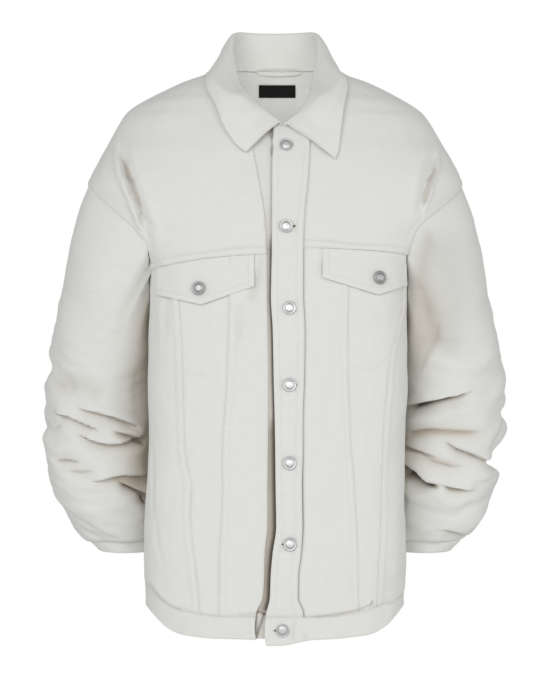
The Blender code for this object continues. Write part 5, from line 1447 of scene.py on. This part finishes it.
    def cuff(self, node):
        """The cuff is a closed ring with a needle line near its top and one near its edge."""
        turns = np.linspace(0, 2 * math.pi, CUFF_COLUMNS + 1)[:-1]
        deep = CUFF_TOP - CUFF_BOTTOM
        from_top = stations([deep], CUFF_ROWS)[0]
        turn, drop = np.meshgrid(turns, from_top)
        level = CUFF_TOP - drop
        normals = unit(np.stack([self.side * np.cos(turn) / CUFF_HALF_WIDTH,
                                 -np.sin(turn) / CUFF_HALF_DEPTH, 0 * turn], -1))
        wide = np.minimum(deep - drop, CUFF_SHOWN) * CUFF_FLARE - CUFF_NARROW
        wide = wide * np.maximum(np.cos(turn), 0) ** 0.7
        points = np.stack([self.side * (CUFF_CENTRE[0] + CUFF_HALF_WIDTH * np.cos(turn) + wide),
                           CUFF_CENTRE[1] - CUFF_HALF_DEPTH * np.sin(turn), level], -1)
        at = turn * CUFF_HALF_WIDTH
        moved = 0.0004 * wander(np.cos(turn) * 0.05, np.sin(turn) * 0.05 + level, 0.030, 17)
        tan = 0 * moved
        dark = 0 * moved
        # warmth and darkness at both bands: painted shade in the seams and grooves, with worn colour
        for kind, away, seed in (("rim", drop, 12), ("hem", deep - drop, 13)):
            moved = moved + band_relief(kind, away, at, seed)
            tan = tan + band_tan(kind, away)
            dark = dark + band_line(kind, away)
        outer = points + moved[..., None] * normals
        uv = np.stack([at, level], -1)
        cut_piece(node, outer, normals, uv, (tan, dark), closed(points), ring=True)
        for line in (6, -3):
            NEEDLES.append((np.concatenate([outer[line], outer[line, :1]]),
                            np.concatenate([normals[line], normals[line, :1]])))


def build_sleeve(side, word, front):
    sleeve = Sleeve(side, front)
    sleeve.part(f"sleeve_{word}_top", -1, 2, ("over", "over", "under", "full"),
                f"yoke_front_{word}", (14, 15, 2, 16))
    sleeve.part(f"sleeve_{word}_under", 2, 3, ("under", "under", "under", "full"),
                f"sleeve_{word}_top", (15, 14, 2, 16), UNDER_ARM_COARSER)
    sleeve.cuff(f"cuff_{word}")


# ---------------------------------------------------------------- collar

def neck_ring():
    """The neckline from the right front round the back to the left front, in space."""
    table = rounded_line(NECK_FRONT, NECK_FINE)
    front_x, front_z = table[:, 0], table[:, 1]
    back = rounded_line(NECK_BACK, NECK_FINE)
    rear = front_line(back[:, 0], back[:, 1], rear=True)
    under = -UNDER_DROP * ease((-front_x - UNDER_START) / UNDER_SPAN)
    right, left, rear_right, rear_left = [
        body_point(*line.T) + (raised - CLOTH / 2)[:, None] * body_normal(*line.T)
        for line, raised in ((front_line(-front_x, front_z), under),
                             (front_line(front_x, front_z), overlap_lift(front_x)),
                             (rear * np.array([-1.0, 1.0]), np.zeros(len(rear))),
                             (rear, np.zeros(len(rear))))]
    return even_line(np.concatenate([right, rear_right[::-1], rear_left[1:], left[::-1]]), FINE)


def collar_lines(count):
    """Neck seam, fold and outer edge of the collar at stations from end to end."""
    rows = np.arange(len(COLLAR))
    at = np.linspace(0, len(COLLAR) - 1, COLLAR_FINE)
    lines = read_off(at, rows, COLLAR, smooth)
    ring = neck_ring()
    half = len(ring) // 2
    nearest = []
    for number, row in enumerate(COLLAR):
        away = np.linalg.norm(ring - row[:3], axis=1)
        away[half + 20:] += number < len(COLLAR) // 2
        away[:half - 20] += number > len(COLLAR) // 2
        nearest.append(int(np.argmin(away)))
    share = smooth(at, rows, np.array(nearest, float))
    lines[:, :3] = read_off(share, np.arange(len(ring)), ring)
    steps = np.linalg.norm(np.diff(lines[:, 3:9], axis=0), axis=1) / math.sqrt(2)
    lengths = np.concatenate([[0], np.cumsum(steps)])
    wanted = stations([lengths[-1]], count)[0]
    lines = read_off(wanted, lengths, lines)
    return lines[:, :3], lines[:, 3:6], lines[:, 6:9], wanted, lengths[-1] - wanted


def clear_of_body(points, clearance):
    """Move points outward, level, until they clear the body's surface."""
    level = points[..., 2]
    widest = body_level(level)[4]
    centre = np.stack([0 * level, widest, level], -1)
    away = points - centre
    bearing = np.arctan2(away[..., 0], -away[..., 1])
    low = np.full(level.shape, -math.pi)
    high = np.full(level.shape, math.pi)
    for _ in range(36):
        middle = (low + high) / 2
        ring = body_point(middle, level) - centre
        beyond = np.arctan2(ring[..., 0], -ring[..., 1]) > bearing
        high = np.where(beyond, middle, high)
        low = np.where(beyond, low, middle)
    surface = np.linalg.norm(ring, axis=-1) + clearance
    reach = np.linalg.norm(away, axis=-1)
    pushed = np.clip(surface / reach - 1, 0, 0.25 * ease(-level / 0.060) + 0.010)
    return centre + away * (1 + pushed)[..., None]


def build_collar():
    """Stand, fold and leaf of the collar as one sheet, with a rim and a needle line round
    the leaf's edges."""
    seam, fold, edge, from_right, from_left = collar_lines(COLLAR_COLUMNS)
    up = unit(fold - (seam + edge) / 2)
    along = unit(np.gradient(fold, axis=0))
    out = unit(np.cross(along, up))
    upper_side = 0.3 * unit(fold * np.array([1.0, 1.0, 0.0])) + np.array([0.0, 0.0, 1.0])
    out = out * np.sign(np.sum(out * upper_side, axis=-1, keepdims=True))
    seam = seam + COLLAR_SEAM * unit(fold - seam)
    radius = np.linalg.norm(fold - seam, axis=-1, keepdims=True) * FOLD_SHARE
    radius = np.minimum(radius, FOLD_RADIUS)
    middle = fold - radius * up
    start = middle - radius * out
    share = np.linspace(0, 1, STAND_ROWS)[:-1, None, None]
    stand = seam + share * (start - seam)
    turn = np.linspace(math.pi, 0, ROLL_ROWS)[:, None, None]
    roll = middle + radius * (np.cos(turn) * out + np.sin(turn) * up)
    end = roll[-1]
    length = np.linalg.norm(edge - end, axis=-1)
    steer = (end + edge) / 2 + LEAF_ROUND * out * ease(length / 0.05)[:, None]
    from_edge = EDGE_LINES * np.minimum(1.0, 0.4 * length[:, None] / EDGE_LINES[-1])
    share = np.linspace(0, 1, LEAF_ROWS)[1:-1]
    inner = share * (length[:, None] - from_edge[:, -1:])
    reached = np.concatenate([inner, length[:, None] - from_edge[:, ::-1]], axis=1).T
    share = (reached / length)[..., None]
    leaf = (1 - share) ** 2 * end + 2 * share * (1 - share) * steer + share ** 2 * edge
    leaf = clear_of_body(leaf, LEAF_CLEARANCE * np.minimum(1.0, share[..., 0] + 0.6))
    points = np.concatenate([stand, roll, leaf])
    normals = unit(np.cross(np.gradient(points, axis=0), np.gradient(points, axis=1)))
    rows = len(points) - len(leaf)
    to_edge = np.concatenate([np.full((rows, len(length)), 0.05), length - reached])
    ends = np.minimum(from_right, from_left)[None] + 0 * to_edge
    on_leaf = ease((np.arange(len(points)) - rows) / 4.0)[:, None]
    at = np.cumsum(np.linalg.norm(np.diff(fold, axis=0, prepend=fold[:1]), axis=1))[None]
    down = np.cumsum(np.linalg.norm(np.diff(points, axis=0, prepend=points[:1]), axis=-1), axis=0)
    rim = np.minimum(to_edge, np.where(on_leaf > 0, ends, 0.05))
    moved = on_leaf * band_relief("rim", rim, at + down, 18)
    moved = moved + 0.0007 * on_leaf * wander(at + 0 * down, down, 0.050, 19)
    # warm along the rim (worn colour and painted shade), and painted warm shade just past the fold
    tan = band_tan("rim", rim) * on_leaf + 0.18 * bell(down - down[rows], 0.006)
    outer = points + (CLOTH / 2 + moved)[..., None] * normals
    uv = np.stack([at + 0 * down, -down], -1)
    dark = band_line("rim", rim) * on_leaf
    cut_piece("collar", outer, normals, uv, (tan, dark), points)
    line = EDGE_LINES.tolist().index(NEEDLE_FAR)
    NEEDLES.append((outer[-1 - line, line:-line], normals[-1 - line, line:-line]))
    for column in (line, -1 - line):
        NEEDLES.append((outer[rows + 2:-line, column], normals[rows + 2:-line, column]))


# ---------------------------------------------------------------- flaps, label and loop

def build_flap(side, word):
    flap, button = ((FLAP_RIGHT, POCKET_BUTTON_RIGHT), (FLAP_LEFT, POCKET_BUTTON_LEFT))[side > 0]
    left, right, left_low, point_x, point_low, right_low = flap

    def low(x):
        return np.interp(x, [left, point_x, right], [left_low, point_low, right_low])

    def high(x):
        return yoke_height(x) - SEAM_GAP

    borders = [edge_line(lambda height, x=x: np.full(np.shape(height), x), float(high(x)),
                         float(low(x))) for x in (left, right)]
    borders += [level_line(left, right, high), level_line(left, right, low)]
    base, angle, height, down, away = laid_out(borders, FLAP_STEP)
    normals = body_normal(angle, height)
    raised = FLAP_TOP + FLAP_LIFT * ease(down * 1.15)
    if side > 0:
        raised = raised + overlap_lift(base[..., 0])
    at = angle * BODY_RADIUS
    round_edge = np.minimum(np.minimum(away[0], away[1]), away[3])
    moved = raised + band_relief("rim", round_edge, at + height, 20)
    moved = moved + 0.0005 * wander(at, height, 0.034, 22 + side)
    reach = np.hypot(base[..., 0] - button[0], height - button[1])
    moved = moved - 0.0008 * bell(reach, 0.011)
    # warm and dark along the rim and in the seam under the yoke's band: painted shade, with worn
    # colour at the rim
    tan = band_tan("rim", round_edge)
    dark = band_line("rim", round_edge) + band_line("under", away[2])
    outer = base + moved[..., None] * normals
    uv = np.stack([at, height], -1)
    cut_piece(f"pocket_flap_{word}", outer, normals, uv, (tan, dark), base,
              thickness=FLAP_CLOTH)
    collect_needles(outer, normals, ("rim", "rim", "none", "rim"))


def inner_strip(node, box, thickness, material, taper, rows, bow=0.0):
    """A thin strip inside the back of the neck: left x, right x, lower and upper height; bow
    is how far its middle hangs free, and a taper narrows its ends and paints shade along its long
    edges."""
    across, down = np.meshgrid(np.linspace(0, 1, STRIP_COLUMNS), np.linspace(0, 1, rows))
    narrow = 1 - taper * (1 - ease(np.minimum(across, 1 - across) / 0.14))
    middle, half = (box[2] + box[3]) / 2, (box[3] - box[2]) / 2
    height = middle + half * narrow * (1 - 2 * down)
    angle = body_angle(box[0] + across * (box[1] - box[0]), height, rear=True)
    normals = body_normal(angle, height)
    off = CLOTH + LABEL_CLEARANCE + bow * np.sin(math.pi * across)
    points = body_point(angle, height) - off[..., None] * normals
    uv = np.stack([across * (box[1] - box[0]), height], -1)
    # painted shade along the long edges, as warmth and darkness
    shade = 1.3 * taper * (np.abs(1 - 2 * down) > 0.9)
    item = cloth_wall(node + "_cloth", points, normals, uv, (shade, shade), material, thickness)
    return item, points


def build_neck_pieces():
    """The label is a sheet of its own; the loop is a narrow tape sewn to the back yoke."""
    label, points = inner_strip("neck_label", LABEL, LABEL_THICKNESS, LABEL_LOOK, 0.0, 13)
    finish_cloth(label, "neck_label", points)
    loop, _ = inner_strip("hanger_loop", LOOP_SEEN, LOOP_THICKNESS, DENIM, 0.45, 7, LOOP_BOW)
    ride(loop, "hanger_loop")


# ---------------------------------------------------------------- sewing

def rings_about(middle, radius, across, up, sides):
    """A ring of points about each middle, in the plane of its two directions."""
    turns = (np.arange(sides) / sides * 2 * math.pi)[:, None]
    return middle[:, None] + radius * (np.cos(turns) * across[:, None]
                                       + np.sin(turns) * up[:, None])


def build_stitches():
    """Threads on the needle lines: each stitch is a four-sided grain half sunk in the cloth."""
    starts, ends, ups = [], [], []
    for line, normals in NEEDLES:
        lengths = lengths_along(line)
        at = (np.arange(int(lengths[-1] / STITCH_PITCH)) + 0.15) * STITCH_PITCH
        starts.append(read_off(at, lengths, line))
        ends.append(read_off(at + STITCH_LENGTH, lengths, line))
        ups.append(read_off(at, lengths, normals))
    start, end, up = (np.concatenate(part) for part in (starts, ends, ups))
    along = unit(end - start)
    across = unit(np.cross(up, along))
    up = np.cross(along, across)
    grains = np.stack([rings_about(start + share * (end - start) + rise * STITCH_RADIUS * up,
                                   STITCH_RADIUS * size, across, up, 4)
                       for share, size, rise in STITCH_RINGS], axis=1)
    corners = grains[0].shape[0] * grains[0].shape[1]
    faces = np.concatenate([quads_of(closed(np.arange(corners).reshape(-1, 4))),
                            [[3, 2, 1, 0], [8, 9, 10, 11]]])
    for part, chunk in enumerate(np.array_split(grains, STITCH_MESHES), 1):
        numbers = (faces[None] + corners * np.arange(len(chunk))[:, None, None]).reshape(-1, 4)
        ride(new_mesh(f"stitches_{part}", chunk.reshape(-1, 3), numbers, THREAD))


def turned_profile(profile, sides):
    """A surface of revolution about +Z from rows of (radius, rise), closed at both poles."""
    turns = np.arange(sides) / sides * 2 * math.pi
    ring = profile[1:-1]
    points = np.stack([ring[:, :1] * np.cos(turns), ring[:, :1] * np.sin(turns),
                       ring[:, 1:] + 0 * turns[None]], -1).reshape(-1, 3)
    points = np.concatenate([points, [(0, 0, profile[0, 1]), (0, 0, profile[-1, 1])]])
    number = closed(np.arange(len(ring) * sides).reshape(-1, sides))
    low, high = len(points) - 2, len(points) - 1
    poles = [np.stack([number[0, 1:], number[0, :-1], np.full(sides, low)], -1),
             np.stack([number[-1, :-1], number[-1, 1:], np.full(sides, high)], -1)]
    return points, quads_of(number), np.concatenate(poles)


def button_points():
    profile = BUTTON_PROFILE * np.array([BUTTON_RADIUS, BUTTON_HEIGHT])
    last = len(profile) - 1
    fine = np.linspace(0, last, BUTTON_FINER * last + 1)
    return turned_profile(read_off(fine, np.arange(last + 1), profile), BUTTON_SIDES)


def place_on_front(spot, raised):
    """Point and axes of a spot on the front: outward, to the side and up the cloth."""
    height = np.array(spot[1])
    angle = body_angle(np.array(spot[0]), height)
    normal = body_normal(angle, height)
    point = body_point(angle, height) + raised * normal
    side = unit(np.cross(np.array([0.0, 0.0, 1.0]), normal))
    return point, normal, side, np.cross(normal, side)


def build_buttons():
    points, quads, poles = button_points()
    standoff = CLOTH + FLAP_CLEARANCE + FLAP_STANDOFF
    spots = [(f"front_button_{number}", spot, OVERLAP_LIFT)
             for number, spot in enumerate(FRONT_BUTTONS, 1)]
    spots.append(("pocket_button_right", POCKET_BUTTON_RIGHT, standoff))
    lift = float(overlap_lift(POCKET_BUTTON_LEFT[0]))
    spots.append(("pocket_button_left", POCKET_BUTTON_LEFT, standoff + lift))
    for node, spot, raised in spots:
        point, normal, side, up = place_on_front(spot, raised - BUTTON_SEAT)
        vertices = point + points[:, :1] * side + points[:, 1:2] * up + points[:, 2:] * normal
        item = mesh_of_polygons(node + "_metal", vertices, [quads, poles],
                                METAL_WORN if node.startswith("pocket") else METAL,
                                np.hypot(points[:, 0], points[:, 1]) / BUTTON_RADIUS)
        ride(item, node)


def mesh_of_polygons(name, vertices, blocks, material, reach):
    """A mesh of faces of several sizes; reach is how far out each point lies on a button."""
    mesh = bpy.data.meshes.new(name)
    mesh.from_pydata(vertices.tolist(), [], [face for block in blocks for face in block.tolist()])
    return show_mesh(mesh, name, material, {"reach": reach}, METAL_CRISP)


def build_buttonholes():
    """A worked eyelet beside each button: a thread-bound oval with a thin dark sheet in it, the
    painted shadow of its slit.
    """
    turns = np.linspace(0, 2 * math.pi, EYELET_POINTS + 1)[:-1]
    half = BUTTONHOLE_LENGTH / 2 - BUTTONHOLE_WIDTH
    across = BUTTONHOLE_WIDTH * np.cos(turns) + half * np.clip(3 * np.cos(turns), -1, 1)
    rise = BUTTONHOLE_WIDTH * np.sin(turns)
    bead = EYELET_BEAD * (1 + EYELET_SWELL * np.sin(EYELET_TURNS * turns))[:, None, None]
    number = closed(np.arange(EYELET_POINTS * EYELET_SIDES).reshape(-1, EYELET_SIDES))
    quads = quads_of(np.concatenate([number, number[:1]]))
    first = np.arange(EYELET_POINTS)
    second = (first + 1) % EYELET_POINTS
    sides = np.stack([first, first + EYELET_POINTS, second + EYELET_POINTS, second], -1)
    slit_faces = [first[None], sides, first[None, ::-1] + EYELET_POINTS]
    for count, (spot, shift) in enumerate(zip(FRONT_BUTTONS, BUTTONHOLE_SHIFTS), 1):
        raised = OVERLAP_LIFT + (BAND_RISE if count == len(FRONT_BUTTONS) else 0)
        point, normal, side, up = place_on_front((spot[0] + shift, spot[1]), raised)
        path = point + across[:, None] * side + rise[:, None] * up
        outward = unit(np.gradient(np.concatenate([path[-1:], path, path[:1]]), axis=0)[1:-1])
        rings = rings_about(path, bead, np.cross(outward, normal),
                            np.broadcast_to(normal, path.shape), EYELET_SIDES)
        ride(new_mesh(f"buttonhole_{count}", rings.reshape(-1, 3), quads, THREAD))
        # a thin dark sheet in the slit: painted shadow in the opening
        slit = path - 0.35 * (path - point - ((path - point) @ side)[:, None] * side)
        slit = slit + SLIT_RISE * normal
        item = mesh_of_polygons(f"buttonhole_slit_{count}",
                                np.concatenate([slit, slit - SLIT_DEPTH * normal]), slit_faces,
                                SHADE, np.zeros(2 * EYELET_POINTS))
        ride(item)


# ---------------------------------------------------------------- materials

def shader(name):
    material = bpy.data.materials.new(name)
    material.use_nodes = True
    tree = material.node_tree
    return material, tree, tree.nodes["Principled BSDF"]


def add(tree, kind, **settings):
    node = tree.nodes.new(kind)
    for key, value in settings.items():
        setattr(node, key, value)
    return node


def feed(tree, socket, value):
    """A socket takes a constant, or a link from another node's output."""
    if isinstance(value, (int, float, tuple)):
        socket.default_value = value
    else:
        tree.links.new(value, socket)


def settle(node, values):
    """Constants for the sockets of a node."""
    for key, value in values.items():
        node.inputs[key].default_value = value


def layer(tree, name):
    """A point attribute of the mesh, written by cloth_wall or mesh_of_polygons."""
    return add(tree, "ShaderNodeAttribute", attribute_name=name).outputs["Fac"]


def math_node(tree, operation, first, second, clamp=False):
    node = add(tree, "ShaderNodeMath", operation=operation, use_clamp=clamp)
    feed(tree, node.inputs[0], first)
    feed(tree, node.inputs[1], second)
    return node.outputs[0]


def scaled_uv(tree, scale, turn=0.0):
    uv = add(tree, "ShaderNodeUVMap", uv_map="cloth")
    mapping = add(tree, "ShaderNodeMapping")
    settle(mapping, {"Scale": (scale[0], scale[1], 1.0), "Rotation": (0.0, 0.0, turn)})
    tree.links.new(uv.outputs["UV"], mapping.inputs["Vector"])
    return mapping.outputs["Vector"]


def noise(tree, vector, size, detail=2.0, rough=0.5):
    node = add(tree, "ShaderNodeTexNoise")
    settle(node, {"Scale": size, "Detail": detail, "Roughness": rough})
    tree.links.new(vector, node.inputs["Vector"])
    return node.outputs["Fac"]


def mix_colour(tree, share, first, second):
    node = add(tree, "ShaderNodeMix", data_type="RGBA", blend_type="MIX")
    for place, value in ((0, share), (6, first), (7, second)):
        feed(tree, node.inputs[place], value)
    return node.outputs[2]


def raise_cloth(tree, principled, height, strength, distance):
    """Fine relief of the yarns as a bump."""
    bump = add(tree, "ShaderNodeBump")
    settle(bump, {"Strength": strength, "Distance": distance})
    tree.links.new(height, bump.inputs["Height"])
    tree.links.new(bump.outputs["Normal"], principled.inputs["Normal"])


def denim_material():
    """Off-white denim: slubby yarns across, a fine twill, and a warm cast of painted shade in
    hollows.
    """
    material, tree, principled = shader("denim_look")
    uv = scaled_uv(tree, (1.0, 1.0))
    slub = noise(tree, scaled_uv(tree, (60.0, 900.0)), 1.0, 3.0, 0.6)
    yarn = noise(tree, scaled_uv(tree, (500.0, 90.0)), 1.0, 2.0, 0.5)
    cloud = noise(tree, uv, 26.0, 4.0, 0.6)
    twill = add(tree, "ShaderNodeTexWave", wave_type="BANDS", bands_direction="X")
    settle(twill, {"Scale": TWILL_SCALE, "Distortion": 1.2, "Detail": 1.0, "Detail Scale": 2.0})
    tree.links.new(scaled_uv(tree, (1.0, 1.0), math.radians(-32)), twill.inputs["Vector"])
    # tan is painted warm shade in creases and hollows, and worn colour beside seams; the cloud makes
    # it uneven
    warm = math_node(tree, "ADD", math_node(tree, "MULTIPLY", cloud, 0.5), 0.62)
    warm = math_node(tree, "MULTIPLY", warm, layer(tree, "tan"), clamp=True)
    base = mix_colour(tree, slub, CLOTH_LOW, CLOTH_HIGH)
    base = mix_colour(tree, warm, base, CLOTH_WARM)
    # line is painted shade in seams, along folds and beside the placket
    base = mix_colour(tree, layer(tree, "line"), base, CLOTH_SHADE)
    # inner faces painted lighter: painted light inside the neck
    shade = math_node(tree, "MULTIPLY", layer(tree, "inside"), 0.60)
    base = mix_colour(tree, shade, base, CLOTH_INSIDE_LIT)
    tree.links.new(base, principled.inputs["Base Color"])
    settle(principled, {"Roughness": 0.88, "Specular IOR Level": 0.25, "Sheen Weight": 0.12,
                        "Sheen Roughness": 0.5})
    height = math_node(tree, "MULTIPLY", slub, 0.9)
    height = math_node(tree, "ADD", height, math_node(tree, "MULTIPLY", yarn, 0.4))
    height = math_node(tree, "ADD", height, math_node(tree, "MULTIPLY", twill.outputs["Fac"], 0.5))
    raise_cloth(tree, principled, height, 0.55, 0.00022)
    return material


def plain_material(name, colour, roughness):
    material, _, principled = shader(name)
    settle(principled, {"Base Color": colour, "Roughness": roughness})
    return material


def metal_material(name, share):
    """Satin metal, painted lighter over the middle of the dome as its highlight, and darker round the
    recess.
    """
    material, tree, principled = shader(name)
    ramp = add(tree, "ShaderNodeValToRGB")
    for _ in range(3):
        ramp.color_ramp.elements.new(0.5)
    for element, (place, level) in zip(ramp.color_ramp.elements, METAL_RINGS):
        element.position = place
        level = level * share
        element.color = (level, level, level * 1.01, 1.0)
    tree.links.new(layer(tree, "reach"), ramp.inputs["Fac"])
    tree.links.new(ramp.outputs["Color"], principled.inputs["Base Color"])
    settle(principled, {"Metallic": 1.0, "Roughness": 0.46})
    return material


def label_material():
    """Plain black woven cloth."""
    material, tree, principled = shader("label_look")
    weave = add(tree, "ShaderNodeTexWave", wave_type="BANDS", bands_direction="Y")
    settle(weave, {"Scale": 700.0})
    tree.links.new(scaled_uv(tree, (1.0, 1.0)), weave.inputs["Vector"])
    raise_cloth(tree, principled, weave.outputs["Fac"], 0.4, 0.0001)
    settle(principled, {"Base Color": LABEL_COLOUR, "Roughness": 0.75, "Specular IOR Level": 0.15})
    return material


# ---------------------------------------------------------------- studio

def soft_light(name, place, aim, size, power, spread):
    light = bpy.data.lights.new(name, "AREA")
    light.shape = "RECTANGLE"
    light.size, light.size_y = size
    light.energy = power
    light.spread = math.radians(spread)
    item = put(name, light)
    item.location = place
    way = Vector(aim) - Vector(place)
    item.rotation_euler = way.to_track_quat("-Z", "Y").to_euler()


def build_studio():
    camera_data = bpy.data.cameras.new("camera")
    camera = put("camera", camera_data)
    camera.location = (0.0, CAMERA_Y, CAMERA_Z)
    camera.rotation_euler = (math.pi / 2, 0.0, 0.0)
    camera_data.sensor_fit = "VERTICAL"
    camera_data.sensor_height = 36.0
    camera_data.lens = CAMERA_LENS
    camera_data.clip_start = 0.05
    bpy.context.scene.camera = camera
    for light in LIGHTS:
        soft_light(*light)
    world = bpy.data.worlds.new("studio")
    bpy.context.scene.world = world
    world.use_nodes = True
    tree = world.node_tree
    tree.nodes.clear()
    seen = add(tree, "ShaderNodeBackground")
    lit = add(tree, "ShaderNodeBackground")
    settle(seen, {"Color": WHITE, "Strength": 1.0})
    settle(lit, {"Color": WHITE, "Strength": WORLD_STRENGTH})
    path = add(tree, "ShaderNodeLightPath")
    both = add(tree, "ShaderNodeMixShader")
    out = add(tree, "ShaderNodeOutputWorld")
    tree.links.new(path.outputs["Is Camera Ray"], both.inputs[0])
    tree.links.new(lit.outputs[0], both.inputs[1])
    tree.links.new(seen.outputs[0], both.inputs[2])
    tree.links.new(both.outputs[0], out.inputs["Surface"])
    floor_mesh = bpy.data.meshes.new("floor")
    reach = FLOOR_REACH
    floor_mesh.from_pydata([(-reach, -reach, FLOOR_Z), (reach, -reach, FLOOR_Z),
                            (reach, reach, FLOOR_Z), (-reach, reach, FLOOR_Z)], [], [(0, 1, 2, 3)])
    floor = put("floor", floor_mesh)
    floor_mesh.materials.append(plain_material("floor_look", FLOOR_COLOUR, 0.9))
    bpy.context.scene.view_settings.view_transform = "Standard"


# ---------------------------------------------------------------- the jacket

NEEDLES = []
CUTS = []
DENIM = denim_material()
THREAD = plain_material("thread_look", THREAD_COLOUR, 0.62)
SHADE = plain_material("slit_shadow_look", SLIT_SHADOW_COLOUR, 0.95)
METAL = metal_material("button_look", 1.0)
METAL_WORN = metal_material("pocket_button_look", POCKET_METAL)
LABEL_LOOK = label_material()

build_neck_pieces()
right, right_hem = build_front(-1, "right")
left, left_hem = build_front(1, "left")
tab = build_plackets()
back_hem = build_back(right, left)
build_hem(right_hem, left_hem, tab, back_hem)
build_sleeve(-1, "right", right)
build_sleeve(1, "left", left)
build_collar()
build_flap(-1, "right")
build_flap(1, "left")
build_buttons()
build_buttonholes()
build_stitches()
build_studio()

for node, width, length, area in CUTS:
    print("cut", node, width, length, area)
